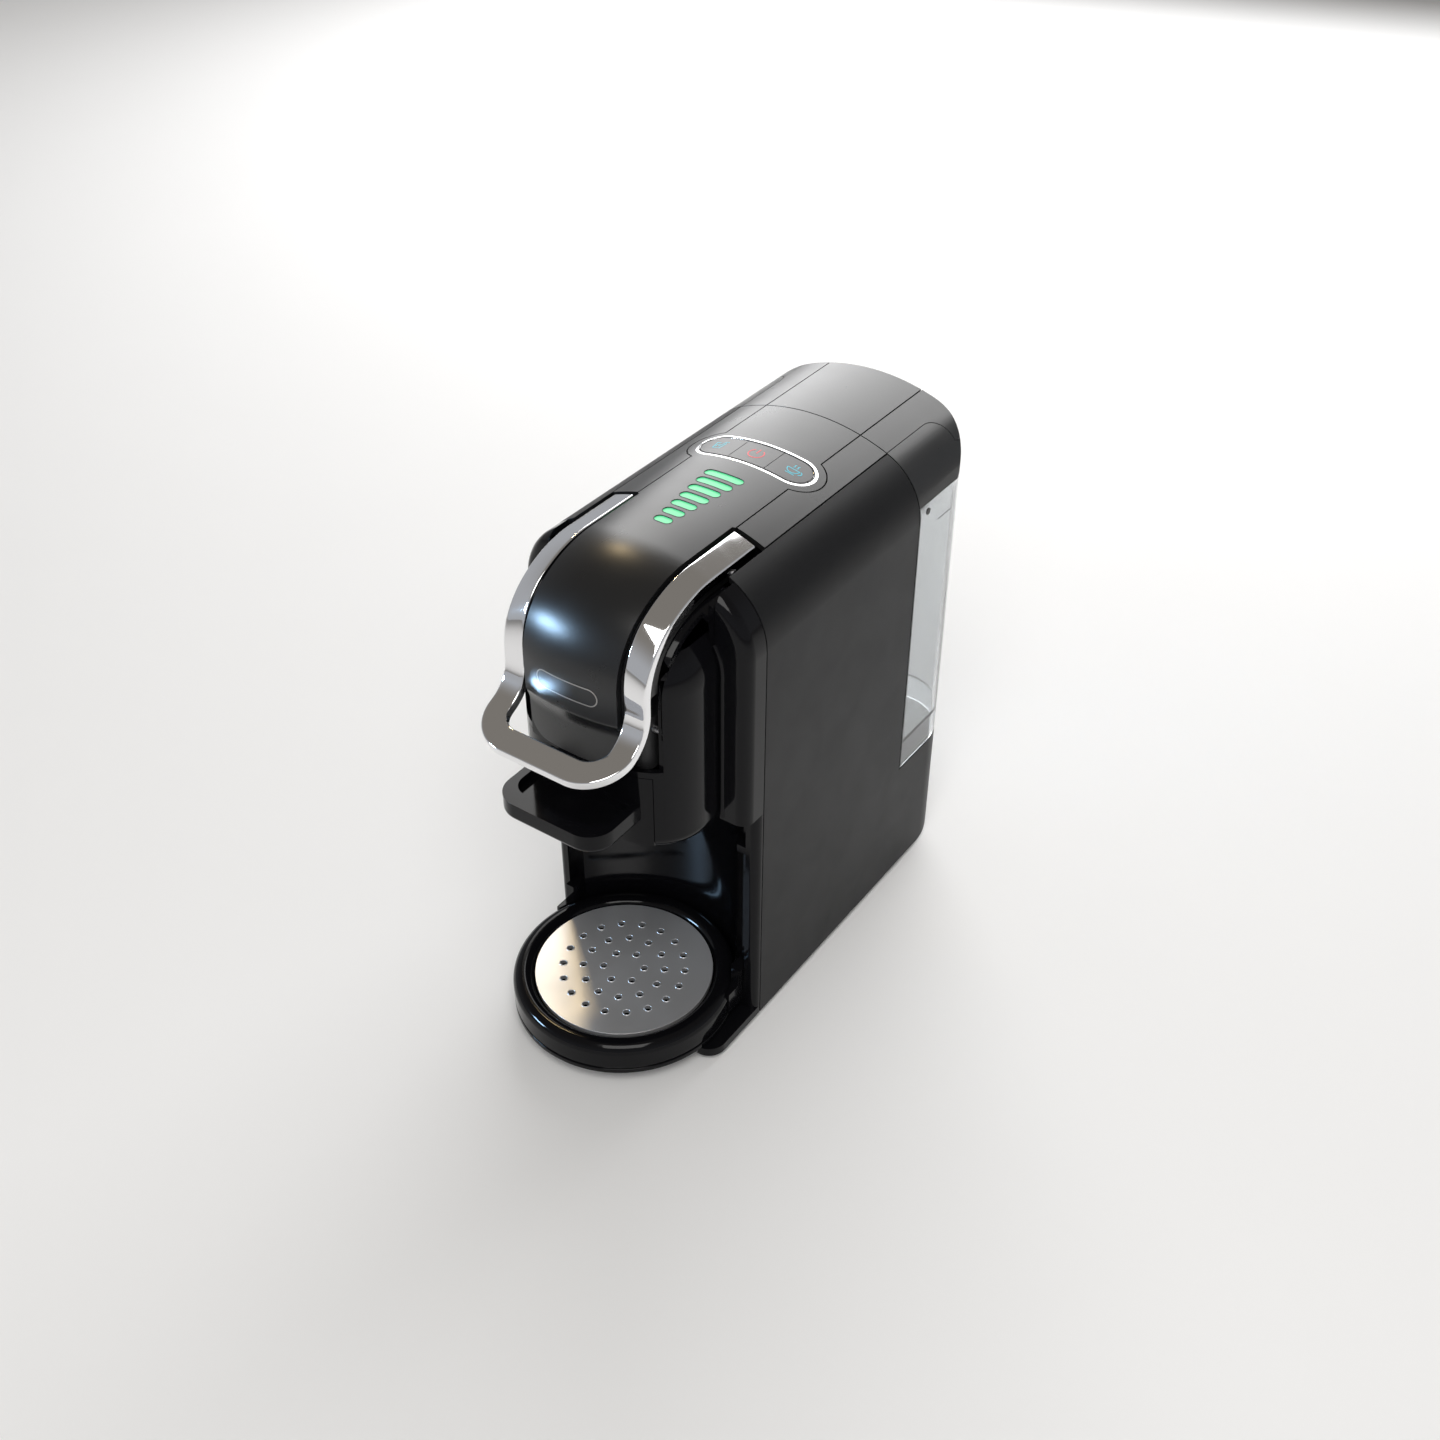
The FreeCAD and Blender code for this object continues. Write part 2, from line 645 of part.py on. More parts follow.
def make_front_frame():
    """Gloss frame: arched collar around the head, two pillars, the niche wall and the front prongs."""
    collar = section_prism(0, FRAME_Y, SEAM_Y - SEAM / 2, LEDGE_Z)
    rim = edges_where(collar, lambda p: near(p.y, FRAME_Y) and p.z > LEDGE_Z - 1)
    rim = [e for e in rim if not all(near(v.Point.z, LEDGE_Z) for v in e.Vertexes)]
    collar = collar.makeFillet(FRAME_EDGE_R, rim)
    collar = collar.cut(section_prism(WALL, FRAME_Y + WALL, SEAM_Y, LEDGE_Z - 1))
    wall_out = CHANNEL_OUT + CHANNEL_WALL + FIT
    collar = collar.cut(box(-wall_out, wall_out, FRAME_Y - 1, SEAM_Y, HEAD_TOP - HEAD_ARCH_R, FAR))
    collar = collar.cut(head_prism(-FIT, HEAD_Y, SEAM_Y, LEDGE_Z - 1))

    half_in = HALF_WIDTH - SKIN_INNER
    front = box(-HALF_WIDTH, HALF_WIDTH, COLUMN_Y, SEAM_Y - SEAM / 2, FOOT_HEIGHT, LEDGE_Z)
    front = front.makeFillet(
        PILLAR_EDGE_R,
        edges_where(front, lambda p: near(p.y, COLUMN_Y) and near(abs(p.x), HALF_WIDTH)),
    )
    tail = box(-half_in, half_in, SEAM_Y - SEAM, SEAM_Y + PILLAR_TAIL, FOOT_HEIGHT, LEDGE_Z)
    shell = rod_z(NICHE_R + WALL, 0, TRAY_Y, FOOT_HEIGHT, LEDGE_Z)
    shell = shell.common(box(-half_in, half_in, SEAM_Y, FAR, FOOT_HEIGHT, LEDGE_Z))
    niche = rod_z(NICHE_R, 0, TRAY_Y, 0, HEAD_BOTTOM)
    ahead = box(-NICHE_R, NICHE_R, FRONT_Y, TRAY_Y, 0, HEAD_BOTTOM)
    prongs = rounded_plan(HALF_WIDTH, SEAM_Y - SEAM, PRONG_FRONT_Y, PRONG_CORNER_R, FOOT_HEIGHT, PRONG_TOP)
    under_r = TRAY_R - BOWL_WALL + GLIDE
    prongs = prongs.cut(rod_z(under_r, 0, TRAY_Y, 0, HEAD_BOTTOM))
    prongs = prongs.cut(box(-under_r, under_r, FRONT_Y, TRAY_Y, 0, HEAD_BOTTOM))
    column = joined([joined([front, tail, shell]).cut(niche).cut(ahead), prongs])
    column = column.cut(head_prism(-FIT, HEAD_Y, FRAME_Y + HEAD_TAIL, HEAD_BOTTOM - FIT))
    drawer_way = box(-DRAWER_HALF - WALL, DRAWER_HALF + WALL, FRAME_Y, FAR, DRAWER_BOTTOM, FAR)
    frame = joined([collar, column]).cut(drawer_way)
    for z0, z1 in ((GROOVE_BOTTOM, GROOVE_TOP), (UPPER_GROOVE_BOTTOM, LEDGE_Z)):
        frame = frame.cut(groove(z0, z1)).cut(mirrored(groove(z0, z1)))
    return frame


# Brew head


def both(shape):
    """A piece fused with its mirror image."""
    return joined([shape, mirrored(shape)])


def make_brew_head():
    """Head shell: arched nose, bed and walls of the handle channels, and the hinge pockets."""
    rear_y = FRAME_Y + HEAD_TAIL
    nose = head_prism(0, HEAD_Y, rear_y, HEAD_BOTTOM)
    rim = edges_where(nose, lambda p: near(p.z, HEAD_BOTTOM))
    rim = [e for e in rim if not all(near(v.Point.y, rear_y) for v in e.Vertexes)]
    nose = nose.makeFillet(HEAD_EDGE_R, rim)

    out = CHANNEL_OUT + CHANNEL_WALL
    inner = COVER_HALF - SEAM / 2
    under = CHANNEL_DEPTH + WALL
    spring = HEAD_TOP - HEAD_ARCH_R
    bed = swept(-out, out, CHANNEL_DEPTH, under, POCKET_FRONT_Y, CHANNEL_END_Z)
    core = swept(-inner, inner, SKIN_INNER, SKIN_INNER + WALL, POCKET_FRONT_Y, CHANNEL_END_Z)
    core_side = swept(inner - WALL, inner, SKIN_INNER, under, POCKET_FRONT_Y, CHANNEL_END_Z)
    above_rim = swept(-out - 1, out + 1, -SWEEP_ROOM, CHANNEL_RIM, POCKET_FRONT_Y, CHANNEL_END_Z)
    above_bed = swept(-out - 1, out + 1, -SWEEP_ROOM, under, POCKET_FRONT_Y, CHANNEL_END_Z)
    outer_side = box(CHANNEL_OUT, out, SWEEP_Y, POCKET_FRONT_Y, CHANNEL_END_Z, BODY_HEIGHT)
    outer_side = outer_side.cut(above_rim)
    inside = box(-CHANNEL_OUT, CHANNEL_OUT, HEAD_Y + WALL, POCKET_FRONT_Y, spring, BODY_HEIGHT)
    inside = inside.cut(above_bed)

    channel = swept(inner, CHANNEL_OUT, -SWEEP_ROOM, CHANNEL_DEPTH, POCKET_FRONT_Y, CHANNEL_END_Z)
    cavity = head_prism(WALL, HEAD_Y + WALL, rear_y + 1, DRAWER_BOTTOM)
    nose = nose.cut(both(channel)).cut(above_rim)
    head = joined([nose, bed, core, both(core_side), both(outer_side)]).cut(inside).cut(cavity)

    pocket = box(inner - WALL, out, POCKET_FRONT_Y - WALL, POCKET_REAR_Y + WALL, POCKET_FLOOR - WALL, FAR)
    roof = section_prism(CHANNEL_RIM, POCKET_FRONT_Y - 2 * WALL, FAR, POCKET_FLOOR - WALL)
    room = box(inner, CHANNEL_OUT, POCKET_FRONT_Y, POCKET_REAR_Y, POCKET_FLOOR, FAR)
    pocket = pocket.common(roof).cut(room).cut(channel)
    head = joined([head, both(pocket)])

    mouth = box(-DRAWER_HALF, DRAWER_HALF, FRONT_Y, HEAD_Y + HEAD_CORNER_R, DRAWER_BOTTOM, DRAWER_TOP)
    slot = box(0, FAR, GUIDE_Y - SLOT_WIDTH / 2, GUIDE_Y + SLOT_WIDTH / 2, SLOT_BOTTOM, SLOT_TOP)
    slot = slot.common(head_prism(SLOT_SKIN, HEAD_Y + SLOT_SKIN, rear_y, HEAD_BOTTOM))
    pin_hole = rod_x(PIVOT_R, 0, out + 1, PIVOT_Y, PIVOT_Z)
    outlet = rod_z(SPOUT_R, 0, CUP_Y, HEAD_BOTTOM - 1, DRAWER_BOTTOM + 1)
    return head.cut(mouth).cut(both(slot)).cut(both(pin_hole)).cut(outlet)


def make_spout():
    """Outlet nozzle in the floor of the head."""
    tip = HEAD_BOTTOM - SPOUT_DROP
    body = Part.makeCone(SPOUT_R - WALL / 2, SPOUT_R, SPOUT_DROP, V(0, CUP_Y, tip))
    neck = rod_z(SPOUT_R, 0, CUP_Y, HEAD_BOTTOM, DRAWER_BOTTOM)
    return joined([body, neck]).cut(rod_z(SPOUT_BORE_R, 0, CUP_Y, tip, DRAWER_BOTTOM))


def make_front_cover(skin):
    """Centre strip from the brow to the tank seam, with ears round the control pill and board posts."""
    half = COVER_HALF - SEAM / 2
    strip = swept(-half, half, 0, WALL, TANK_Y - SEAM / 2, COVER_END_Z)
    ears = skin.common(pill(PILL_HALF + EAR, PILL_R + EAR, HEAD_TOP, FAR))
    cover = joined([strip, ears])
    cover = cover.cut(pill(PILL_HALF, PILL_R, HEAD_TOP, FAR))
    for x0, x1, y in light_places():
        cover = cover.cut(light_bar(x0, x1, y, HEAD_TOP, FAR))
    post_x = BOARD_HALF - STANDOFF_R
    for y in (LIGHT_FIRST_Y + LIGHT_PITCH, PILL_Y + PILL_R + STANDOFF_R + FIT):
        for side in (-1, 1):
            post = rod_z(STANDOFF_R, side * post_x, y, BOARD_TOP, crown_z(post_x, WALL / 2))
            cover = joined([cover, post])
    return cover


# Handle


def make_handle_loop():
    """Chrome loop: two crowned arms in the channels, straightened into a level flare and front bar."""
    low_z = BAR_Z + FLARE_R
    face_y = SWEEP_Y + BODY_HEIGHT - crown_z((ARM_IN + ARM_OUT) / 2, 0)
    arm = swept(ARM_IN, ARM_OUT, 0, CHROME_THICK, ARM_REAR_Y, low_z + TWIST)
    corners = [(ARM_IN, 0), (ARM_OUT, 0), (ARM_OUT, CHROME_THICK), (ARM_IN, CHROME_THICK)]
    upper = [V(x, SWEEP_Y + BODY_HEIGHT - crown_z(x, depth), low_z + TWIST) for x, depth in corners]
    lower = [V(x, face_y + depth, low_z) for x, depth in corners]
    rings = [Part.makePolygon(ring + ring[:1]) for ring in (upper, lower)]
    twist = Part.makeLoft(rings, True, True)

    sides = [(-ARM_OUT, 0), (ARM_OUT, 0), (ARM_OUT, CHROME_THICK), (-ARM_OUT, CHROME_THICK)]
    ring = [V(x, face_y + depth, low_z) for x, depth in sides]
    face = Part.Face(Part.makePolygon(ring + ring[:1]))
    centre = V(0, face_y - FLARE_R, low_z)
    flare = face.revolve(centre, V(1, 0, 0), -90)
    face.rotate(centre, V(1, 0, 0), -90)
    bar = face.extrude(V(0, FRONT_Y - centre.y, 0))

    outline = rounded_plan(ARM_OUT, ARM_REAR_Y + 1, FRONT_Y, LOOP_OUTER_R, 0, FAR)
    opening = rounded_plan(ARM_IN, ARM_REAR_Y + 2, FRONT_Y + BAR_WIDTH, LOOP_INNER_R, 0, FAR)
    knuckle = rod_x(PIVOT_BOSS_R + FIT, -FAR / 2, FAR / 2, PIVOT_Y, PIVOT_Z)
    foot = joined([flare, bar]).common(outline).cut(opening)
    return joined([arm, mirrored(arm), twist, mirrored(twist), foot]).cut(knuckle)


def make_lever_arm():
    """Right lever arm under the chrome, with the hinge boss."""
    x0 = ARM_IN + LEVER_INSET
    x1 = ARM_OUT - LEVER_INSET
    strip = swept(x0, x1, CHROME_THICK, CHROME_THICK + LEVER_THICK, ARM_REAR_Y, LEVER_END_Z)
    boss = rod_x(PIVOT_BOSS_R, x0, x1, PIVOT_Y, PIVOT_Z)
    above = swept(x0 - 1, x1 + 1, 0, CHROME_THICK, ARM_REAR_Y, LEVER_END_Z)
    return joined([strip, boss.cut(above)]).cut(rod_x(PIVOT_R + PIN_PLAY, 0, FAR, PIVOT_Y, PIVOT_Z))


def make_hinge_pin():
    """Right hinge pin across the pocket."""
    return rod_x(PIVOT_R, COVER_HALF - SEAM / 2 - WALL, CHANNEL_OUT + CHANNEL_WALL, PIVOT_Y, PIVOT_Z)


# Capsule drawer and injector


def make_capsule_drawer():
    """Drawer: front panel flush with the head, floor frame, pull tongue and the cup seat."""
    half = DRAWER_HALF - FIT
    bottom = DRAWER_BOTTOM + FIT
    top = DRAWER_TOP - FIT
    ring_r = CUP_BORE_R + CUP_WALL + FIT + WALL
    nose = head_prism(0, HEAD_Y, HEAD_Y + 2 * HEAD_CORNER_R, DRAWER_BOTTOM)
    nose = nose.cut(head_prism(WALL, HEAD_Y + WALL, HEAD_Y + 2 * HEAD_CORNER_R, 0))
    panel = nose.common(box(-half, half, HEAD_Y - 1, HEAD_Y + HEAD_CORNER_R, bottom, top))
    tail_y = OUTLET_Y - DRAWER_CLEAR
    floor = box(-half, half, HEAD_Y + WALL, tail_y, bottom, bottom + DRAWER_FLOOR)
    floor = floor.common(head_prism(0, HEAD_Y, FAR, DRAWER_BOTTOM))
    seat = rod_z(ring_r, 0, CUP_Y, bottom, CUP_TOP - CUP_RIM_THICK)
    tip_y = FRONT_Y + TONGUE_LIP
    tongue = rounded_plan(
        TONGUE_HALF, HEAD_Y + 2 * WALL, tip_y, TONGUE_CORNER_R, TONGUE_TOP - TONGUE_THICK, TONGUE_TOP
    )
    lower_rim = edges_where(tongue, lambda p: near(p.z, TONGUE_TOP - TONGUE_THICK) and p.y < HEAD_Y)
    tongue = tongue.makeFillet(WALL, [e for e in lower_rim if e.BoundBox.YMin < HEAD_Y - WALL])
    dish_half = TONGUE_HALF - TONGUE_DISH
    dish_r = TONGUE_CORNER_R - TONGUE_DISH
    dish_y = tip_y + 2 * TONGUE_DISH
    dish = rounded_plan(dish_half, HEAD_Y - 1, dish_y, dish_r, TONGUE_TOP - TONGUE_DISH, FAR)
    drawer = joined([panel, floor, seat, tongue.cut(dish)])
    return drawer.cut(rod_z(CUP_BORE_R + CUP_WALL + FIT, 0, CUP_Y, 0, FAR))


def make_capsule_cup():
    """Cup that carries the capsule in the drawer, with its outlet."""
    outer = CUP_BORE_R + CUP_WALL
    bottom = DRAWER_BOTTOM + FIT
    cup = rod_z(outer, 0, CUP_Y, bottom, CUP_TOP)
    rim = rod_z(outer + CUP_RIM, 0, CUP_Y, CUP_TOP - CUP_RIM_THICK, CUP_TOP)
    bore = rod_z(CUP_BORE_R, 0, CUP_Y, bottom + CUP_WALL, CUP_TOP)
    return joined([cup, rim]).cut(bore).cut(rod_z(CUP_OUTLET_R, 0, CUP_Y, 0, FAR))


def make_injector_carriage():
    """Block that carries the injector down onto the capsule when the handle closes."""
    half = CARRIAGE_HALF
    top = CARRIAGE_BOTTOM + CARRIAGE_HEIGHT
    body = box(-half, half, CUP_Y - CARRIAGE_DEPTH / 2, CUP_Y + CARRIAGE_DEPTH / 2, CARRIAGE_BOTTOM, top)
    body = body.makeFillet(2 * WALL, upright_edges(body))
    pin_z = SLOT_BOTTOM + SLOT_WIDTH / 2 + GLIDE
    body = body.cut(rod_x(GUIDE_PIN_R, -FAR / 2, FAR / 2, GUIDE_Y, pin_z))
    inlet = rod_y(TUBE_R - 1, 0, CARRIAGE_BOTTOM + CARRIAGE_HEIGHT / 2, CUP_Y, FAR)
    feed = rod_z(TUBE_R - 1, 0, CUP_Y, 0, CARRIAGE_BOTTOM + CARRIAGE_HEIGHT / 2)
    return body.cut(inlet).cut(feed)


def make_guide_pins():
    """Cross pin of the carriage, whose ends run in the blind slots of the head."""
    pin_z = SLOT_BOTTOM + SLOT_WIDTH / 2 + GLIDE
    inset = SLOT_SKIN + FIT
    pin = rod_x(GUIDE_PIN_R, -HEAD_HALF, HEAD_HALF, GUIDE_Y, pin_z)
    return pin.common(head_prism(inset, HEAD_Y + inset, FRAME_Y, HEAD_BOTTOM))


def make_injector_plate():
    """Pressure plate with its feed bore and five piercing needles."""
    bottom = CARRIAGE_BOTTOM - PLATE_THICK
    plate = rod_z(PLATE_R, 0, CUP_Y, bottom, CARRIAGE_BOTTOM)
    tip = CUP_TOP + GLIDE
    needles = []
    for k in range(NEEDLE_COUNT):
        turn = 2 * math.pi * k / NEEDLE_COUNT
        x = NEEDLE_PITCH_R * math.sin(turn)
        y = CUP_Y + NEEDLE_PITCH_R * math.cos(turn)
        needles.append(Part.makeCone(NEEDLE_R / 3, NEEDLE_R, bottom - tip, V(x, y, tip)))
    return joined([plate] + needles).cut(rod_z(TUBE_R - 1, 0, CUP_Y, 0, FAR))


def make_injector_seal():
    """Rubber ring round the pressure plate."""
    return tube_z(SEAL_R, PLATE_R, 0, CUP_Y, CARRIAGE_BOTTOM - SEAL_THICK, CARRIAGE_BOTTOM)


# Drip tray


def turned(points):
    """Solid of revolution about the tray axis from radius and height pairs."""
    corners = [V(r, TRAY_Y, z) for r, z in points]
    edges = [line(a, b) for a, b in zip(corners, corners[1:] + corners[:1])]
    return face_of(edges).revolve(V(0, TRAY_Y, 0), V(0, 0, 1), 360)


def make_tray_bowl():
    """Drip bowl on a conical skirt, with the ledge that carries the grate."""
    ledge = TRAY_TOP - GRATE_DROP
    outer = RING_IN_R - FIT
    inner = outer - BOWL_WALL
    foot = TRAY_R - BOWL_WALL
    under = RING_BOTTOM - BOWL_FLOOR
    profile = [
        (0, under),
        (inner, under),
        (inner, TRAY_BOTTOM),
        (BOWL_BASE_R, TRAY_BOTTOM),
        (foot, RING_BOTTOM),
        (outer, RING_BOTTOM),
        (outer, ledge),
        (inner, ledge),
        (inner, RING_BOTTOM),
        (0, RING_BOTTOM),
    ]
    return turned(profile)


def make_tray_ring():
    """Rounded ring around the bowl, with a groove near its lower edge."""
    width = TRAY_R - RING_IN_R
    crown = TRAY_TOP - width / 2
    centre_r = (TRAY_R + RING_IN_R) / 2
    a = V(RING_IN_R, TRAY_Y, RING_BOTTOM)
    b = V(RING_IN_R, TRAY_Y, crown)
    c = V(TRAY_R, TRAY_Y, crown)
    d = V(TRAY_R, TRAY_Y, RING_BOTTOM)
    face = face_of([line(a, b), arc(b, V(centre_r, TRAY_Y, TRAY_TOP), c), line(c, d), line(d, a)])
    ring = face.revolve(V(0, TRAY_Y, 0), V(0, 0, 1), 360)
    band = RING_BOTTOM + WALL
    line_groove = tube_z(TRAY_R + 1, TRAY_R - 1, 0, TRAY_Y, band, band + 1)
    return ring.cut(line_groove)


def make_tray_hook(ring):
    """Right hook from the ring into the groove of the pillar."""
    half = HOOK_WIDTH / 2
    near_y = COLUMN_Y - GLIDE
    arm_y = near_y - HOOK_REACH
    finger = HOOK_TOP - GROOVE_BOTTOM - GLIDE
    block = box(HOOK_X - half, HOOK_X + half, arm_y, near_y, HOOK_BOTTOM, GROOVE_BOTTOM)
    neck = box(HOOK_X - half, HOOK_X + half, near_y - HOOK_THICK, near_y, GROOVE_BOTTOM, HOOK_TOP)
    tooth_y = COLUMN_Y + GROOVE_DEPTH - GLIDE
    tooth = box(HOOK_X - half, HOOK_X + half, near_y, tooth_y, HOOK_TOP - finger, HOOK_TOP)
    core = rod_z(TRAY_R - 1, 0, TRAY_Y, 0, HOOK_TOP)
    return joined([block, neck, tooth]).cut(ring).cut(core)


def make_drip_grate():
    """Chrome plate on the ledge of the bowl, with drain holes on three circles."""
    bottom = TRAY_TOP - GRATE_DROP
    plate = rod_z(RING_IN_R - 2 * FIT, 0, TRAY_Y, bottom, bottom + GRATE_THICK)
    holes = []
    for ring, count in ((1, 6), (2, 12), (3, 18)):
        radius = ring * (RING_IN_R - BOWL_WALL) / 4
        for k in range(count):
            turn = 2 * math.pi * k / count
            x = radius * math.sin(turn)
            y = TRAY_Y + radius * math.cos(turn)
            holes.append(rod_z(GRATE_HOLE_R, x, y, 0, TRAY_TOP))
    return plate.cut(Part.makeCompound(holes))


# Water tank


def tank_zone(inset, z0, z1):
    """Body form behind the tank seam between two heights, drawn in by inset."""
    front = TANK_Y + SEAM / 2 + inset
    return envelope(inset, FOOT_HEIGHT + inset).common(box(-FAR, FAR, front, FAR, z0, z1))


def tank_room(z0, z1):
    """Space inside the upright walls of the tank between two heights."""
    front = TANK_Y + SEAM / 2 + TANK_WALL
    corner = REAR_CORNER_R - TANK_WALL
    return rounded_plan(HALF_WIDTH - TANK_WALL, front, REAR_Y - TANK_WALL, corner, z0, z1)


def make_water_tank():
    """Clear tank with a raised floor, a skirt below it and the hole for its valve."""
    floor = TANK_BOTTOM + TANK_SKIRT
    tank = tank_zone(0, TANK_BOTTOM, TANK_TOP)
    tank = tank.cut(tank_room(floor, FAR))
    tank = tank.cut(tank_room(0, floor - TANK_WALL))
    return tank.cut(rod_z(VALVE_R, 0, VALVE_Y, 0, FAR))


def lid_zone(grow):
    """Plan of the lid: the top strips, flaring out along the rear edge."""
    half = STRIP_HALF - SEAM / 2 + grow
    flare_y = REAR_Y - LID_FLARE - grow
    wide = half + LID_FLARE
    strip = box(-half, half, TANK_Y + SEAM / 2 - grow, FAR / 2, TANK_TOP, FAR)
    rear = box(-wide, wide, flare_y, FAR / 2, TANK_TOP, FAR)
    zone = joined([strip, rear])
    nooks = edges_where(zone, lambda p: near(abs(p.x), half) and near(p.y, flare_y))
    return zone.makeFillet(LID_FLARE_R, nooks)


def make_tank_collar():
    """Gloss shoulder of the tank with the filler opening, under the lid."""
    collar = tank_zone(0, TANK_TOP, FAR)
    bed = section_prism(SKIN_INNER, SEAM_Y, FAR, TANK_TOP - 1)
    above = lid_zone(FIT).cut(bed)
    collar = collar.cut(above)
    collar = collar.cut(tank_zone(WALL, TANK_TOP, FAR).common(section_prism(2 * SKIN_INNER, SEAM_Y, FAR, 0)))
    fill = rounded_plan(
        STRIP_HALF - FILL_MARGIN, TANK_Y + FILL_MARGIN, REAR_Y - 2 * FILL_MARGIN, FILL_MARGIN, TANK_TOP, FAR
    )
    return collar.cut(fill)


def make_tank_lid():
    """Lift-off lid: the rear end of the top strips and their lines, with a plug rim that centres it."""
    form = tank_zone(0, TANK_TOP, FAR)
    bed = section_prism(WALL, SEAM_Y, FAR, TANK_TOP - 1)
    plate = form.common(lid_zone(0)).cut(bed)
    gap = FILL_MARGIN + GLIDE
    half = STRIP_HALF - gap
    front = TANK_Y + gap
    rear = REAR_Y - FILL_MARGIN - gap
    corner = FILL_MARGIN - GLIDE
    rim = rounded_plan(half, front, rear, corner, TANK_TOP + 2 * WALL, FAR)
    hollow = rounded_plan(half - WALL, front + WALL, rear - WALL, corner - 1, 0, FAR)
    low = BODY_HEIGHT - 5 * WALL
    rim = rim.cut(hollow).common(section_prism(WALL / 2, SEAM_Y, FAR, low))
    gap = SEAM / 2
    lines = box(COVER_HALF - gap, COVER_HALF + gap, TANK_Y, FAR, TANK_TOP, FAR)
    lines = lines.cut(section_prism(LID_LINE_DEPTH, SEAM_Y, FAR, 0))
    return joined([plate, rim]).cut(lines).cut(mirrored(lines))


VALVE_Y = (TANK_Y + REAR_Y) / 2
SHELF_BOTTOM = TANK_BOTTOM - SHELF_THICK
SPIGOT_R = HOSE_R - HOSE_WALL


def make_tank_valve():
    """Outlet valve in the floor of the tank."""
    floor = TANK_BOTTOM + TANK_SKIRT
    stem = rod_z(VALVE_R, 0, VALVE_Y, TANK_BOTTOM + SHELF_THICK, floor)
    flange = rod_z(VALVE_FLANGE_R, 0, VALVE_Y, floor, floor + WALL)
    return joined([stem, flange]).cut(rod_z(DOCK_BORE_R, 0, VALVE_Y, 0, FAR))


def make_tank_dock():
    """Cup on the shelf that the valve plugs into, with the spigot for the suction hose."""
    base = rod_z(DOCK_R, 0, VALVE_Y, TANK_BOTTOM, TANK_BOTTOM + DOCK_HEIGHT)
    room = rod_z(SEAL_RING_R, 0, VALVE_Y, TANK_BOTTOM + SHELF_THICK - GLIDE, FAR)
    spigot = rod_z(SPIGOT_R, 0, VALVE_Y, SHELF_BOTTOM - SPIGOT_LENGTH, TANK_BOTTOM)
    return joined([base.cut(room), spigot]).cut(rod_z(SPIGOT_R - HOSE_WALL, 0, VALVE_Y, 0, FAR))


def make_dock_seal():
    """Rubber ring between the dock and the valve."""
    low = TANK_BOTTOM + SHELF_THICK + WALL
    return tube_z(SEAL_RING_R, VALVE_R + PIN_PLAY, 0, VALVE_Y, low, low + WALL)


# Control panel


def light_places():
    """Side limits and place of each light bar, the longest nearest the panel."""
    places = []
    for k in range(LIGHT_COUNT):
        half = (LIGHT_FIRST + LIGHT_GROWTH * k) / 2
        places.append((-half, half, LIGHT_FIRST_Y + LIGHT_PITCH * k))
    return places


def light_bar(x0, x1, y, z0, z1):
    """Upright stadium along X."""
    radius = LIGHT_WIDTH / 2
    middle = box(x0 + radius, x1 - radius, y - radius, y + radius, z0, z1)
    ends = [rod_z(radius, x0 + radius, y, z0, z1), rod_z(radius, x1 - radius, y, z0, z1)]
    return joined([middle] + ends)


def make_level_lights():
    """Light guide: seven bars that stand in the slots of the cover, joined by a carrier below."""
    under = section_prism(LIGHT_SUNK, BOARD_FRONT_Y, BOARD_REAR_Y, BOARD_TOP)
    places = light_places()
    bars = []
    for x0, x1, y in places:
        bar = light_bar(x0 + PIN_PLAY, x1 - PIN_PLAY, y, BOARD_TOP, FAR)
        bars.append(bar.common(under))
    first = places[0][2] - LIGHT_WIDTH / 2
    last = places[-1][2] + LIGHT_WIDTH / 2
    half = places[0][1]
    carrier = box(-half, half, first, last, BOARD_TOP, BOARD_TOP + CARRIER_THICK)
    return joined(bars + [carrier])


def make_control_ring(skin):
    """Bright ring round the keys."""
    band = pill(PILL_HALF, PILL_R, HEAD_TOP, FAR).cut(
        pill(PILL_HALF - RING_WIDTH, PILL_R - RING_WIDTH, HEAD_TOP, FAR)
    )
    return skin.common(band)


def key_limits():
    """Side limits of the three keys, from left to right."""
    gap = FIT / 2
    end = PILL_HALF - RING_WIDTH - FIT
    return {
        "key_cold": (-end, -KEY_HALF - gap, -KEY_STEM_X),
        "key_power": (-KEY_HALF + gap, KEY_HALF - gap, 0.0),
        "key_hot": (KEY_HALF + gap, end, KEY_STEM_X),
    }


def make_key(skin, x0, x1, stem_x):
    """One key of the panel with the stem that works its switch."""
    inner = pill(PILL_HALF - RING_WIDTH - FIT, PILL_R - RING_WIDTH - FIT, HEAD_TOP, FAR)
    cap = skin.common(inner).common(box(x0, x1, -FAR, FAR, HEAD_TOP, FAR))
    low = BOARD_TOP + SWITCH_HEIGHT + KEY_TRAVEL + FIT
    return joined([cap, rod_z(KEY_STEM_R, stem_x, PILL_Y, low, crown_z(stem_x, WALL / 2))])


def make_panel_board():
    """Circuit board under the cover with its three switches."""
    board = box(-BOARD_HALF, BOARD_HALF, BOARD_FRONT_Y, BOARD_REAR_Y, BOARD_TOP - BOARD_THICK, BOARD_TOP)
    pieces = [board]
    for x0, x1, stem_x in key_limits().values():
        half = 2 * KEY_STEM_R
        low = BOARD_TOP - BOARD_THICK
        high = BOARD_TOP + SWITCH_HEIGHT
        pieces.append(box(stem_x - half, stem_x + half, PILL_Y - half, PILL_Y + half, low, high - 1))
        pieces.append(rod_z(KEY_STEM_R, stem_x, PILL_Y, low, high))
    return joined(pieces)


# Chassis and water works


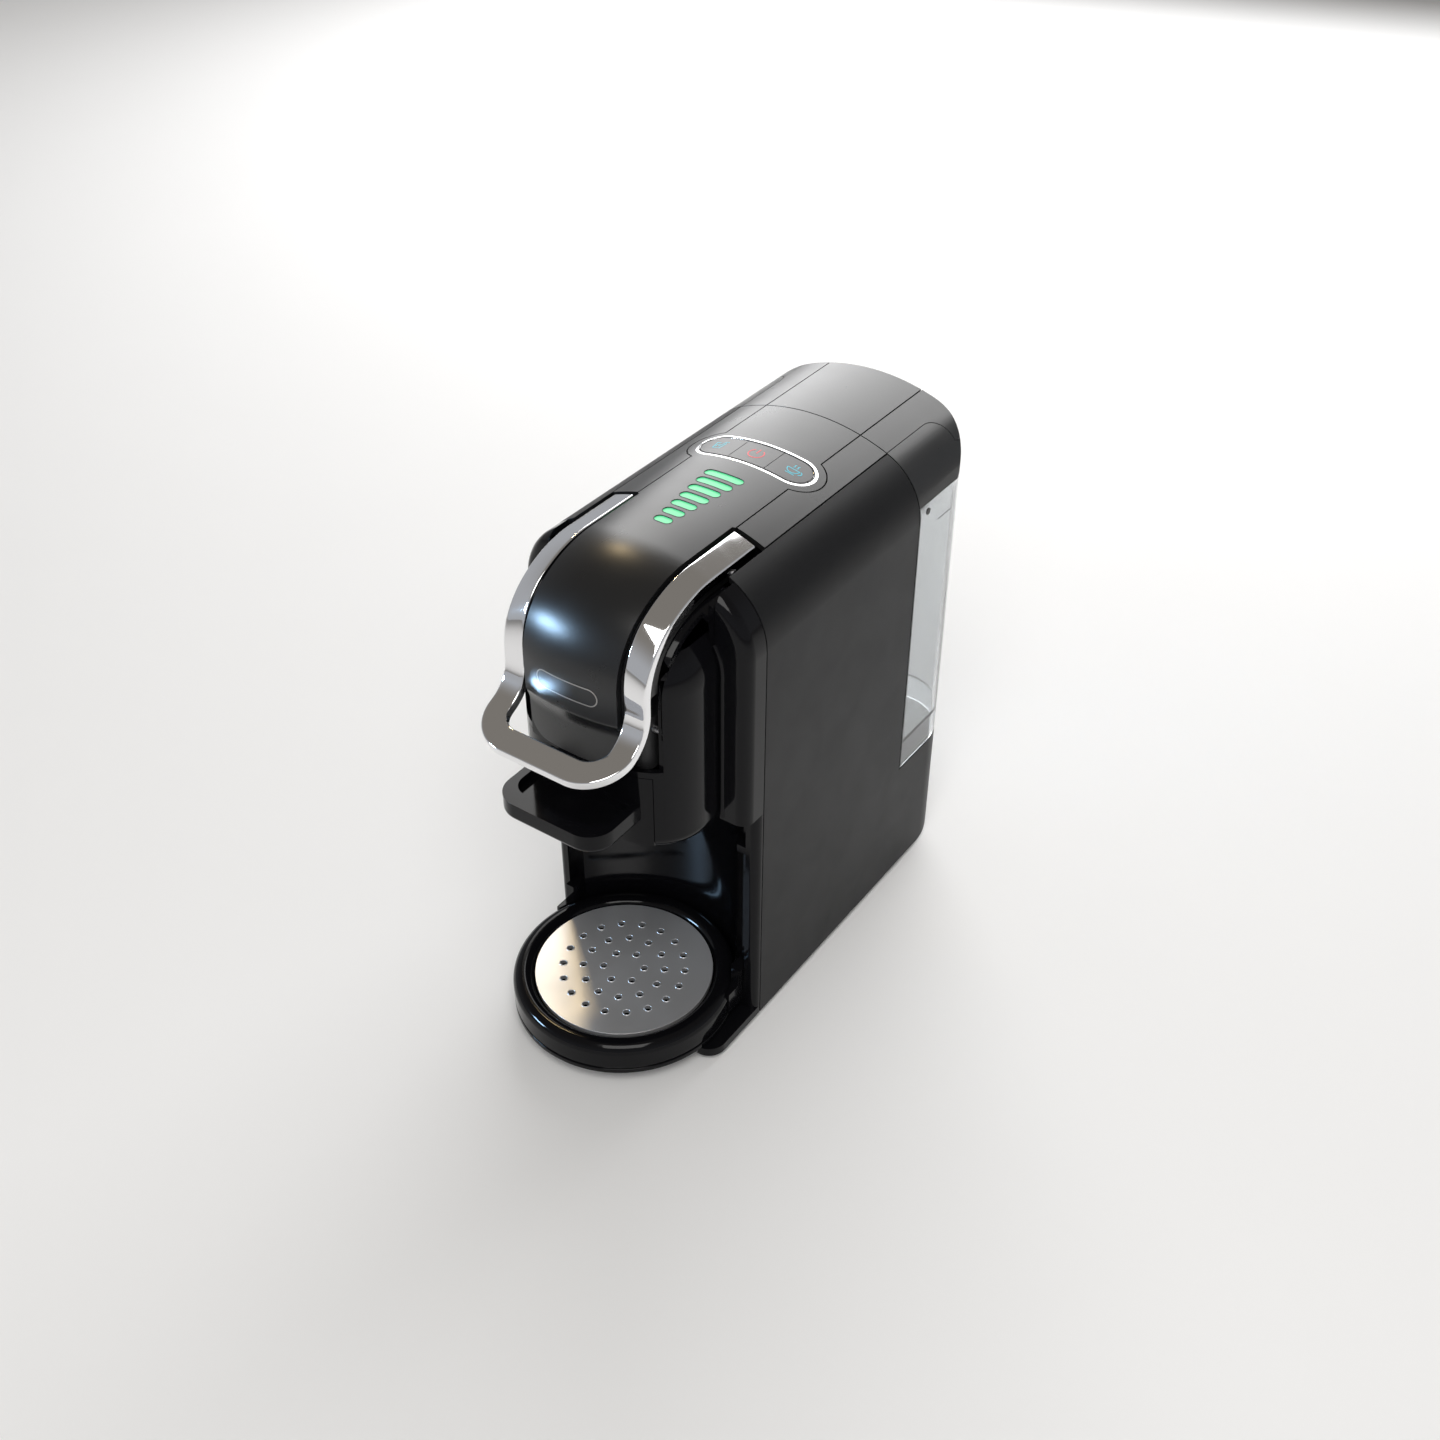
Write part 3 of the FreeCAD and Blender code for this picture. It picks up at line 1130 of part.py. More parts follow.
PUMP_COIL_Z = PUMP_BOTTOM + PUMP_END
PUMP_TOP_Z = PUMP_COIL_Z + PUMP_COIL_HEIGHT
PUMP_TIP_Z = PUMP_TOP_Z + PUMP_END
LOWER_MOUNT_Z = PUMP_COIL_Z - MOUNT_THICK
UPPER_MOUNT_Z = PUMP_TOP_Z
BLOCK_TOP = HEAD_BOTTOM + BLOCK_RISE
BLOCK_HEIGHT = BLOCK_TOP - BLOCK_BOTTOM
DECK_TOP = BASE_TOP + WALL
METER_Z = DECK_TOP + METER_HEIGHT / 2
INLET_Z = PUMP_TIP_Z + 2 * TUBE_BEND
INLET_X = BLOCK_X - BLOCK_R - BLOCK_BOSS
OUTLET_Z = BLOCK_TOP - BLOCK_OUTLET_DROP


def bracket(x, y, half, z):
    """Shelf from the chassis wall out to a piece that it carries."""
    return box(x - half, x + half, y - half, CHASSIS_Y + FIT, z, z + MOUNT_PLATE)


def make_chassis():
    """Inner frame: deck, tank wall, tank shelf, screw posts, brackets and board standoffs."""
    half = HALF_WIDTH - SKIN_INNER
    inner = envelope(SKIN_INNER, BASE_TOP)
    wall = box(-FAR, FAR, CHASSIS_Y, CHASSIS_Y + WALL, BASE_TOP, FAR).common(inner)
    shelf = box(-FAR, FAR, CHASSIS_Y, FAR, SHELF_BOTTOM, TANK_BOTTOM).common(inner)
    deck = box(-half, half, BASE_FRONT_Y, CHASSIS_Y + WALL, BASE_TOP, DECK_TOP)
    pieces = [wall, shelf, deck]
    for x, y in SCREW_PLACES:
        for side in (-1, 1):
            pieces.append(rod_z(POST_R, side * x, y, BASE_TOP, BASE_TOP + SCREW_LENGTH))
    pieces.append(bracket(PUMP_X, PUMP_Y, MOUNT_R, LOWER_MOUNT_Z - MOUNT_PLATE))
    pieces.append(bracket(PUMP_X, PUMP_Y, MOUNT_R, UPPER_MOUNT_Z + MOUNT_THICK))
    pieces.append(bracket(BLOCK_X, BLOCK_Y, BLOCK_R, BLOCK_BOTTOM - MOUNT_PLATE))
    for x in (-1, 1):
        for z in (PCB_BOTTOM + STANDOFF, PCB_TOP - STANDOFF):
            pieces.append(rod_y(STANDOFF_R, x * (PCB_HALF - STANDOFF), z, CHASSIS_Y - STANDOFF, CHASSIS_Y))
    chassis = joined(pieces)
    for x, y in SCREW_PLACES:
        for side in (-1, 1):
            chassis = chassis.cut(rod_z(SCREW_R + PIN_PLAY, side * x, y, 0, BASE_TOP + SCREW_LENGTH - WALL))
    way = rod_z(PUMP_END_R + FIT, PUMP_X, PUMP_Y, DECK_TOP, PUMP_TIP_Z)
    drain = rod_z(SPIGOT_R, 0, VALVE_Y, SHELF_BOTTOM, TANK_BOTTOM)
    feed = rod_y(HOSE_R + FIT, METER_X, METER_Z, CHASSIS_Y - 1, CHASSIS_Y + WALL + 1)
    return chassis.cut(way).cut(drain).cut(feed)


def make_pump():
    """Solenoid pump: square coil between a round inlet and outlet."""
    half = PUMP_COIL / 2
    coil = box(PUMP_X - half, PUMP_X + half, PUMP_Y - half, PUMP_Y + half, PUMP_COIL_Z, PUMP_TOP_Z)
    coil = coil.makeFillet(2 * WALL, upright_edges(coil))
    core = rod_z(PUMP_END_R, PUMP_X, PUMP_Y, PUMP_BOTTOM, PUMP_TIP_Z - PUMP_END / 3)
    tip = rod_z(TUBE_R + 2, PUMP_X, PUMP_Y, PUMP_BOTTOM, PUMP_TIP_Z)
    return joined([coil, core, tip])


def make_pump_mounts():
    """Two rubber rings between the pump and its brackets."""
    lower = tube_z(MOUNT_R, PUMP_END_R, PUMP_X, PUMP_Y, LOWER_MOUNT_Z, LOWER_MOUNT_Z + MOUNT_THICK)
    upper = tube_z(MOUNT_R, PUMP_END_R, PUMP_X, PUMP_Y, UPPER_MOUNT_Z, UPPER_MOUNT_Z + MOUNT_THICK)
    return Part.makeCompound([lower, upper])


def make_thermoblock():
    """Finned heater that the water runs through, with its inlet and outlet bosses."""
    pieces = [rod_z(BLOCK_R - BLOCK_FIN, BLOCK_X, BLOCK_Y, BLOCK_BOTTOM, BLOCK_TOP)]
    pitch = BLOCK_HEIGHT / (BLOCK_FIN_COUNT - 0.5)
    for k in range(BLOCK_FIN_COUNT):
        z = BLOCK_BOTTOM + k * pitch
        pieces.append(rod_z(BLOCK_R, BLOCK_X, BLOCK_Y, z, z + pitch / 2))
    pieces.append(rod_x(BLOCK_BOSS_R, INLET_X, BLOCK_X, PUMP_Y, INLET_Z))
    pieces.append(rod_y(BLOCK_BOSS_R, BLOCK_X, OUTLET_Z, OUTLET_Y, BLOCK_Y))
    return joined(pieces)


def make_thermal_fuse():
    """Thermal fuse strapped to the top of the heater."""
    half = FUSE_LENGTH / 2
    y = BLOCK_Y + FUSE_OFFSET
    top = BLOCK_TOP + FUSE_SIZE
    return box(BLOCK_X - half, BLOCK_X + half, y - FUSE_SIZE / 2, y + FUSE_SIZE / 2, BLOCK_TOP, top)


def make_flow_meter():
    """Flow meter on the deck, in the suction line, with its inlet and outlet spigots."""
    drum = rod_z(METER_R, METER_X, PUMP_Y, DECK_TOP, DECK_TOP + METER_HEIGHT)
    hub = rod_z(METER_R / 2, METER_X, PUMP_Y, DECK_TOP, DECK_TOP + METER_HEIGHT + WALL)
    inlet = rod_y(SPIGOT_R, METER_X, METER_Z, PUMP_Y, PUMP_Y + METER_R + SPIGOT_LENGTH)
    outlet = rod_x(SPIGOT_R, PUMP_X, METER_X, PUMP_Y, METER_Z)
    return joined([drum, hub, inlet, outlet]).cut(rod_z(PUMP_END_R, PUMP_X, PUMP_Y, 0, FAR))


def make_main_board():
    """Power board on the chassis wall with its transformer, relay and capacitor."""
    front = CHASSIS_Y - STANDOFF - PCB_THICK
    board = box(-PCB_HALF, PCB_HALF, front, front + PCB_THICK, PCB_BOTTOM, PCB_TOP)
    gap = 2 * STANDOFF
    low = PCB_TOP - 5 * gap
    high = PCB_TOP - 2 * gap
    transformer = box(-PCB_HALF + gap, -PCB_HALF + 4 * gap, front - 2 * STANDOFF, front, low, high)
    relay = box(-gap, gap, front - STANDOFF, front, low + gap, high)
    capacitor = rod_z(STANDOFF, PCB_HALF - 2 * gap, front - STANDOFF / 2, PCB_TOP - 4 * gap, PCB_TOP - gap)
    return joined([board, transformer, relay, capacitor])


def make_suction_hoses():
    """Hoses from the tank dock to the flow meter and from there to the foot of the pump."""
    points = [
        V(0, VALVE_Y, SHELF_BOTTOM),
        V(0, VALVE_Y, METER_Z),
        V(0, PUMP_Y + METER_R + HOSE_WALL, METER_Z),
    ]
    from_dock = hollow_tube(points, HOSE_R, HOSE_WALL, HOSE_BEND)
    link = rod_x(HOSE_R, PUMP_X, METER_X, PUMP_Y, METER_Z)
    link = link.cut(rod_x(SPIGOT_R, PUMP_X, METER_X, PUMP_Y, METER_Z))
    link = link.cut(rod_z(PUMP_END_R, PUMP_X, PUMP_Y, 0, FAR)).cut(rod_z(METER_R, METER_X, PUMP_Y, 0, FAR))
    return Part.makeCompound([from_dock, link])


def make_pressure_tube():
    """Tube from the pump outlet over to the inlet of the heater."""
    points = [
        V(PUMP_X, PUMP_Y, PUMP_TIP_Z),
        V(PUMP_X, PUMP_Y, INLET_Z),
        V(INLET_X, PUMP_Y, INLET_Z),
    ]
    return bent_tube(points, TUBE_R, TUBE_BEND)


def make_brew_tube():
    """Tube from the outlet of the heater forward to the injector carriage."""
    z = CARRIAGE_BOTTOM + CARRIAGE_HEIGHT / 2
    end_y = CUP_Y + CARRIAGE_DEPTH / 2 + FIT
    lead = 1.5 * BREW_BEND
    points = [
        V(BLOCK_X, OUTLET_Y, OUTLET_Z),
        V(BLOCK_X, OUTLET_Y - lead, OUTLET_Z),
        V(0, end_y + lead, z),
        V(0, end_y, z),
    ]
    return bent_tube(points, TUBE_R, BREW_BEND)


def build():
    """Build and write every node."""
    skin = make_skin()
    side = make_side_panel(skin)
    strip = make_top_strip(skin)
    ring = make_tray_ring()
    nodes = {
        "base_plate": make_base_plate(),
        "rubber_feet": make_rubber_feet(),
        "base_screws": make_base_screws(),
        "right_side_panel": side,
        "left_side_panel": mirrored(side),
        "rear_cover": make_rear_cover(skin),
        "cord_gland": make_cord_gland(),
        "right_top_strip": strip,
        "left_top_strip": mirrored(strip),
        "front_frame": make_front_frame(),
        "brew_head_shell": make_brew_head(),
        "spout": make_spout(),
        "front_cover": make_front_cover(skin),
        "handle_loop": make_handle_loop(),
        "right_lever_arm": make_lever_arm(),
        "left_lever_arm": mirrored(make_lever_arm()),
        "hinge_pins": pair(make_hinge_pin()),
        "capsule_drawer": make_capsule_drawer(),
        "capsule_cup": make_capsule_cup(),
        "injector_carriage": make_injector_carriage(),
        "guide_pin": make_guide_pins(),
        "injector_plate": make_injector_plate(),
        "injector_seal": make_injector_seal(),
        "tray_bowl": make_tray_bowl(),
        "tray_ring": ring,
        "tray_hooks": pair(make_tray_hook(ring)),
        "drip_grate": make_drip_grate(),
        "water_tank": make_water_tank(),
        "tank_collar": make_tank_collar(),
        "tank_lid": make_tank_lid(),
        "tank_valve": make_tank_valve(),
        "tank_dock": make_tank_dock(),
        "dock_seal": make_dock_seal(),
        "level_lights": make_level_lights(),
        "control_ring": make_control_ring(skin),
        "panel_board": make_panel_board(),
        "chassis": make_chassis(),
        "pump": make_pump(),
        "pump_mounts": make_pump_mounts(),
        "thermoblock": make_thermoblock(),
        "thermal_fuse": make_thermal_fuse(),
        "flow_meter": make_flow_meter(),
        "main_board": make_main_board(),
        "suction_hoses": make_suction_hoses(),
        "pressure_tube": make_pressure_tube(),
        "brew_tube": make_brew_tube(),
    }
    for name, (x0, x1, stem_x) in key_limits().items():
        nodes[name] = make_key(skin, x0, x1, stem_x)
    for name, shape in nodes.items():
        print(name, len(shape.Solids), shape.isValid(), round(shape.Volume / 1000, 2))
        save(shape, name)


build()
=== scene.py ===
"""Looks of a slim pod coffee machine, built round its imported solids."""

import json
import logging
import math
from dataclasses import dataclass, replace
from enum import Enum
from typing import Any, Callable, Sequence

import bmesh
import bpy
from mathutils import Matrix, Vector

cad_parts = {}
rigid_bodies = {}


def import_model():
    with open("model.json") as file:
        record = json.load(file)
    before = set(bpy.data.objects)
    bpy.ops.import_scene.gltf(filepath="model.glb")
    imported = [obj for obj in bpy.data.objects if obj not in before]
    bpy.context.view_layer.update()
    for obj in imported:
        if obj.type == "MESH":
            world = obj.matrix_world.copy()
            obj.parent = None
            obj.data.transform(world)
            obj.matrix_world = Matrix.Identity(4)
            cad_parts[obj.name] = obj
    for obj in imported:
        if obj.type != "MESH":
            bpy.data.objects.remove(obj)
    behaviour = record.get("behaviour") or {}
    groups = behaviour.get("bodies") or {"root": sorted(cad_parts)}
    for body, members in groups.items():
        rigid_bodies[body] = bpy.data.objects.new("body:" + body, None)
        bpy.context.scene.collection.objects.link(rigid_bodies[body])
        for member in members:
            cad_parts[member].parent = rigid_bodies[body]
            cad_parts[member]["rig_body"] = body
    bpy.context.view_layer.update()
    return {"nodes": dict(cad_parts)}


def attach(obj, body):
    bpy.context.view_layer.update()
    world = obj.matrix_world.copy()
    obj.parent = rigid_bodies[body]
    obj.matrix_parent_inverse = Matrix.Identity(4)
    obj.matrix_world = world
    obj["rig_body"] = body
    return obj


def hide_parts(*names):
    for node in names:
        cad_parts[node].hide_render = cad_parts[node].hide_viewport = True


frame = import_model()

MM = 0.001
LOG = logging.getLogger("pod_machine")

Colour = tuple[float, float, float]
Point = tuple[float, float, float]
Flat = tuple[float, float]
Grid = Sequence[Sequence[Vector]]


class Stretch(Enum):
    """Stretches of the path that the crown follows, from the tank seam to the front bar."""

    TOP = "top"
    UPPER = "upper brow"
    BROW = "brow"
    FACE = "face"
    FLARE = "flare"
    BAR = "bar"


Place = tuple[Stretch, float]


class NodeBench:
    """Short hand for laying out a node tree."""

    def __init__(self, tree: bpy.types.NodeTree) -> None:
        """Keep the tree.

        Args:
            tree: Node tree that the nodes go into.
        """
        self.tree = tree

    def add(self, kind: str, **settings: Any) -> bpy.types.Node:
        """Add one node.

        Args:
            kind: Blender's name of the node type.
            settings: Properties to set on the node.

        Returns:
            The new node.
        """
        node = self.tree.nodes.new(kind)
        for name, value in settings.items():
            setattr(node, name, value)
        return node

    def wire(self, source: bpy.types.NodeSocket, target: bpy.types.NodeSocket) -> None:
        """Join an output to an input.

        Args:
            source: The output.
            target: The input.
        """
        self.tree.links.new(source, target)

    def noise(self, vector: bpy.types.NodeSocket, scale: float, detail: float) -> bpy.types.Node:
        """Add a noise texture.

        Args:
            vector: Coordinates that it reads.
            scale: Waves per metre.
            detail: Octaves of finer noise.

        Returns:
            The noise node.
        """
        node = self.add("ShaderNodeTexNoise")
        node.inputs["Scale"].default_value = scale
        node.inputs["Detail"].default_value = detail
        self.wire(vector, node.inputs["Vector"])
        return node

    def spread(self, value: bpy.types.NodeSocket, low: float, high: float) -> bpy.types.NodeSocket:
        """Stretch a mask over a range.

        Args:
            value: Mask from 0 to 1.
            low: Result where the mask is low.
            high: Result where the mask is high.

        Returns:
            The stretched value.
        """
        node = self.add("ShaderNodeMapRange")
        node.inputs["From Min"].default_value = 0.3
        node.inputs["From Max"].default_value = 0.7
        node.inputs["To Min"].default_value = low
        node.inputs["To Max"].default_value = high
        self.wire(value, node.inputs["Value"])
        return node.outputs["Result"]

    def tint(self, mask: bpy.types.NodeSocket, low: Colour, high: Colour) -> bpy.types.NodeSocket:
        """Blend two colours.

        Args:
            mask: Share of the second colour.
            low: First colour.
            high: Second colour.

        Returns:
            The blended colour.
        """
        node = self.add("ShaderNodeMix", data_type="RGBA")
        sockets = {s.identifier: s for s in node.inputs}
        sockets["A_Color"].default_value = (*low, 1.0)
        sockets["B_Color"].default_value = (*high, 1.0)
        self.wire(mask, sockets["Factor_Float"])
        return {s.identifier: s for s in node.outputs}["Result_Color"]


def moulded_surface_group() -> bpy.types.NodeTree:
    """Build the shared surface effect of moulded and plated parts.

    Returns:
        Group with a grain height, a smudge mask and a slow drift mask.
    """
    tree = bpy.data.node_groups.new("moulded_surface", "ShaderNodeTree")
    for name, start in (("Grain Scale", 4000.0), ("Smudge Scale", 40.0)):
        socket = tree.interface.new_socket(name, in_out="INPUT", socket_type="NodeSocketFloat")
        socket.default_value = start
    for name in ("Grain", "Smudge", "Drift"):
        tree.interface.new_socket(name, in_out="OUTPUT", socket_type="NodeSocketFloat")
    bench = NodeBench(tree)
    enter = bench.add("NodeGroupInput")
    leave = bench.add("NodeGroupOutput")
    place = bench.add("ShaderNodeTexCoord").outputs["Object"]
    grain = bench.noise(place, 4000.0, 2.0)
    smudge = bench.noise(place, 40.0, 5.0)
    drift = bench.noise(place, 9.0, 1.0)
    bench.wire(enter.outputs["Grain Scale"], grain.inputs["Scale"])
    bench.wire(enter.outputs["Smudge Scale"], smudge.inputs["Scale"])
    smudge.inputs["Distortion"].default_value = 0.6
    bench.wire(grain.outputs["Fac"], leave.inputs["Grain"])
    bench.wire(smudge.outputs["Fac"], leave.inputs["Smudge"])
    bench.wire(drift.outputs["Fac"], leave.inputs["Drift"])
    return tree


SURFACE = moulded_surface_group()


def scaled(colour: Colour, share: float) -> Colour:
    """Lighten or darken a colour.

    Args:
        colour: The colour.
        share: What each of its parts is multiplied by.

    Returns:
        The new colour.
    """
    return (colour[0] * share, colour[1] * share, colour[2] * share)


@dataclass(frozen=True)
class Finish:
    """What every finish has: a name, a colour and a gloss."""

    name: str
    colour: Colour
    roughness: float
    smudge: float = 0.04
    grain_size: float = 0.3
    grain_depth: float = 0.01
    drift: float = 0.12

    def start(self) -> tuple[bpy.types.Material, NodeBench, bpy.types.Node]:
        """Make the material with its colour drift, gloss and grain.

        Returns:
            The material, its bench and its shader node.
        """
        material = bpy.data.materials.new(self.name)
        material.use_nodes = True
        material.diffuse_color = (*self.colour, 1.0)
        bench = NodeBench(material.node_tree)
        shader = material.node_tree.nodes["Principled BSDF"]
        effect = bench.add("ShaderNodeGroup", node_tree=SURFACE)
        effect.inputs["Grain Scale"].default_value = 1.0 / (self.grain_size * MM)
        low = scaled(self.colour, 1 - self.drift)
        high = scaled(self.colour, 1 + self.drift)
        bench.wire(bench.tint(effect.outputs["Drift"], low, high), shader.inputs["Base Color"])
        gloss = bench.spread(effect.outputs["Smudge"], self.roughness, self.roughness + self.smudge)
        bench.wire(gloss, shader.inputs["Roughness"])
        bump = bench.add("ShaderNodeBump")
        bump.inputs["Strength"].default_value = 0.6
        bump.inputs["Distance"].default_value = self.grain_depth * MM
        bench.wire(effect.outputs["Grain"], bump.inputs["Height"])
        bench.wire(bump.outputs["Normal"], shader.inputs["Normal"])
        return material, bench, shader


@dataclass(frozen=True)
class Plastic(Finish):
    """Moulded plastic or rubber."""

    specular: float = 0.5

    def material(self) -> bpy.types.Material:
        """Build the plastic."""
        material, _, shader = self.start()
        shader.inputs["Specular IOR Level"].default_value = self.specular
        return material


@dataclass(frozen=True)
class Metal(Finish):
    """Plated, turned or cast metal."""

    metallic: float = 1.0

    def material(self) -> bpy.types.Material:
        """Build the metal."""
        material, _, shader = self.start()
        shader.inputs["Metallic"].default_value = self.metallic
        return material


@dataclass(frozen=True)
class Clear(Finish):
    """Clear moulded plastic."""

    ior: float = 1.46

    def material(self) -> bpy.types.Material:
        """Build the clear plastic, which lets the lamps through."""
        material, bench, shader = self.start()
        shader.inputs["Transmission Weight"].default_value = 1.0
        shader.inputs["IOR"].default_value = self.ior
        path = bench.add("ShaderNodeLightPath")
        open_way = bench.add("ShaderNodeBsdfTransparent")
        open_way.inputs["Color"].default_value = (0.9, 0.92, 0.93, 1.0)
        mix = bench.add("ShaderNodeMixShader")
        out = material.node_tree.nodes["Material Output"]
        bench.wire(path.outputs["Is Shadow Ray"], mix.inputs["Fac"])
        bench.wire(shader.outputs["BSDF"], mix.inputs[1])
        bench.wire(open_way.outputs["BSDF"], mix.inputs[2])
        bench.wire(mix.outputs["Shader"], out.inputs["Surface"])
        return material


@dataclass(frozen=True)
class Glow(Finish):
    """Lit diffuser or printed sign with a light behind it."""

    strength: float = 1.0
    body: float = 0.2

    def material(self) -> bpy.types.Material:
        """Build the lit surface, a little uneven as a diffuser is."""
        material, bench, shader = replace(self, colour=scaled(self.colour, self.body)).start()
        effect = bench.add("ShaderNodeGroup", node_tree=SURFACE)
        effect.inputs["Smudge Scale"].default_value = 250.0
        glow = bench.tint(effect.outputs["Smudge"], scaled(self.colour, 0.93), self.colour)
        bench.wire(glow, shader.inputs["Emission Color"])
        shader.inputs["Emission Strength"].default_value = self.strength
        return material


class Finishes:
    """All finishes of the machine, made once and shared."""

    gloss_black = Plastic("gloss_black", (0.004, 0.004, 0.005), 0.07, 0.05, 1.6, 0.004, specular=0.17)
    satin_black = Plastic("satin_black", (0.009, 0.009, 0.0095), 0.27, 0.04, 0.22, 0.010, specular=0.5)
    panel_grey = Plastic("panel_grey", (0.0048, 0.0048, 0.0056), 0.40, 0.05, 0.35, 0.030, specular=0.2)
    inner_plastic = Plastic("inner_plastic", (0.02, 0.02, 0.021), 0.5, 0.06, 0.5, 0.02)
    key_grey = Plastic("key_grey", (0.075, 0.075, 0.078), 0.33, 0.04, 0.2, 0.01)
    rubber = Plastic("rubber", (0.012, 0.012, 0.012), 0.75, 0.1, 0.4, 0.03, specular=0.3)
    tube_white = Plastic("tube_white", (0.62, 0.62, 0.58), 0.35, 0.05)
    circuit_board = Plastic("circuit_board", (0.02, 0.11, 0.05), 0.35, 0.1, 0.8, 0.03, 0.3)
    pump_body = Plastic("pump_body", (0.09, 0.09, 0.1), 0.4, 0.1)
    chrome = Metal("chrome", (0.86, 0.86, 0.87), 0.035, 0.03, 2.0, 0.002, 0.02)
    tray_chrome = Metal("tray_chrome", (0.70, 0.70, 0.71), 0.34, 0.06, 1.0, 0.003, 0.04, metallic=0.72)
    steel = Metal("steel", (0.55, 0.55, 0.56), 0.24, 0.1, 0.3, 0.006)
    heater_metal = Metal("heater_metal", (0.6, 0.6, 0.61), 0.42, 0.12, 0.6, 0.05)
    clear_plastic = Clear("clear_plastic", (0.70, 0.72, 0.73), 0.02, 0.02, 3.0, 0.004, 0.02)
    mint_light = Glow("mint_light", (0.13, 0.80, 0.36), 0.35, 0.05, strength=0.92, body=0.1)
    cyan_sign = Glow("cyan_sign", (0.03, 0.40, 0.50), 0.4, 0.05, strength=0.9, body=0.3)
    red_sign = Glow("red_sign", (0.72, 0.02, 0.03), 0.4, 0.05, strength=0.9, body=0.3)
    badge_line = Metal("badge_line", (0.42, 0.4, 0.38), 0.3, 0.05, 0.3, 0.004)
    print_grey = Plastic("print_grey", (0.12, 0.12, 0.125), 0.5, 0.05)
    # Dark finish of the vent plug, also the painted shade round the lit bars and along the ring's inner
    # edge.
    black_and_painted_shade = Plastic("black_and_painted_shade", (0.006, 0.006, 0.006), 0.4, 0.05)
    floor_white = Plastic("floor_white", (0.87, 0.87, 0.87), 0.9, 0.02, 5.0, 0.01, 0.005, specular=0.0)

    def __init__(self) -> None:
        """Start with no material made."""
        self.made: dict[str, bpy.types.Material] = {}

    def of(self, finish: Finish) -> bpy.types.Material:
        """Give the material of a finish, making it the first time.

        Args:
            finish: The finish.

        Returns:
            Its material.
        """
        if finish.name not in self.made:
            self.made[finish.name] = finish.material()
        return self.made[finish.name]


FINISHES = Finishes()


def object_of(name: str, build: Callable[[bmesh.types.BMesh], None]) -> bpy.types.Object:
    """Make a mesh object at the origin.

    Args:
        name: Name of the piece.
        build: Function that fills the mesh, in metres.

    Returns:
        The new object.
    """
    mesh = bpy.data.meshes.new(name)
    bm = bmesh.new()
    build(bm)
    bm.to_mesh(mesh)
    bm.free()
    obj = bpy.data.objects.new(name, mesh)
    bpy.context.scene.collection.objects.link(obj)
    return obj


def settle(obj: bpy.types.Object) -> None:
    """Turn an object with modifiers into a plain mesh.

    Args:
        obj: The object, whose modifiers are applied and removed.
    """
    graph = bpy.context.evaluated_depsgraph_get()
    mesh = bpy.data.meshes.new_from_object(obj.evaluated_get(graph))
    obj.modifiers.clear()
    obj.data = mesh


def soften(obj: bpy.types.Object, width: float, angle: float = 32.0, segments: int = 3) -> None:
    """Round the edges of a piece and smooth its shading.

    Args:
        obj: The piece.
        width: Width of the rounding in millimetres.
        angle: Least angle of an edge that is rounded, in degrees.
        segments: Facets across the rounding.
    """
    for polygon in obj.data.polygons:
        polygon.use_smooth = True
    if width > 0:
        bevel = obj.modifiers.new("edge", "BEVEL")
        bevel.width = width * MM
        bevel.segments = segments
        bevel.limit_method = "ANGLE"
        bevel.angle_limit = math.radians(angle)
        bevel.harden_normals = True
        bevel.use_clamp_overlap = True
        bevel.miter_outer = "MITER_ARC"
    weigh = obj.modifiers.new("shade", "WEIGHTED_NORMAL")
    weigh.keep_sharp = True
    weigh.weight = 80
    settle(obj)


def cut_away(obj: bpy.types.Object, tool: bpy.types.Object) -> None:
    """Cut a tool out of a piece and drop the tool.

    Args:
        obj: The piece.
        tool: Closed mesh that is taken away.
    """
    cut = obj.modifiers.new("cut", "BOOLEAN")
    cut.operation = "DIFFERENCE"
    cut.solver = "EXACT"
    cut.object = tool
    settle(obj)
    bpy.data.objects.remove(tool)


def put(
    obj: bpy.types.Object, finish: Finish, body: str, nodes: Sequence[str] = ()
) -> bpy.types.Object:
    """Dress a finished piece and hang it on its body.

    Args:
        obj: The piece.
        finish: Its finish.
        body: Body that it rides on.
        nodes: Solids that it stands for.

    Returns:
        The piece.
    """
    obj.data.materials.clear()
    obj.data.materials.append(FINISHES.of(finish))
    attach(obj, body)
    if nodes:
        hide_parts(*nodes)
    LOG.info("%s rides on %s, %d faces", obj.name, body, len(obj.data.polygons))
    return obj


def merged_copy(node: str, name: str) -> bpy.types.Object:
    """Copy a solid's mesh with its triangles joined into faces.

    Args:
        node: Name of the solid.
        name: Name of the new piece.

    Returns:
        The copy.
    """
    source = frame["nodes"][node]

    def build(bm: bmesh.types.BMesh) -> None:
        bm.from_mesh(source.data)
        bmesh.ops.remove_doubles(bm, verts=bm.verts, dist=0.004 * MM)
        bmesh.ops.dissolve_limit(bm, angle_limit=math.radians(0.4), verts=bm.verts, edges=bm.edges)

    return object_of(name, build)


def dress(node: str, finish: Finish, width: float = 0.35, angle: float = 32.0) -> bpy.types.Object:
    """Stand a softened copy in for a solid.

    Args:
        node: Name of the solid.
        finish: Finish of the piece.
        width: Rounding of its edges in millimetres.
        angle: Least angle of an edge that is rounded, in degrees.

    Returns:
        The piece.
    """
    obj = merged_copy(node, node + "_skin")
    soften(obj, width, angle)
    return put(obj, finish, frame["nodes"][node]["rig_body"], [node])


def coat(node: str, finish: Finish) -> None:
    """Give a solid that stays as it is its material.

    Args:
        node: Name of the solid.
        finish: Its finish.
    """
    data = frame["nodes"][node].data
    data.materials.clear()
    data.materials.append(FINISHES.of(finish))


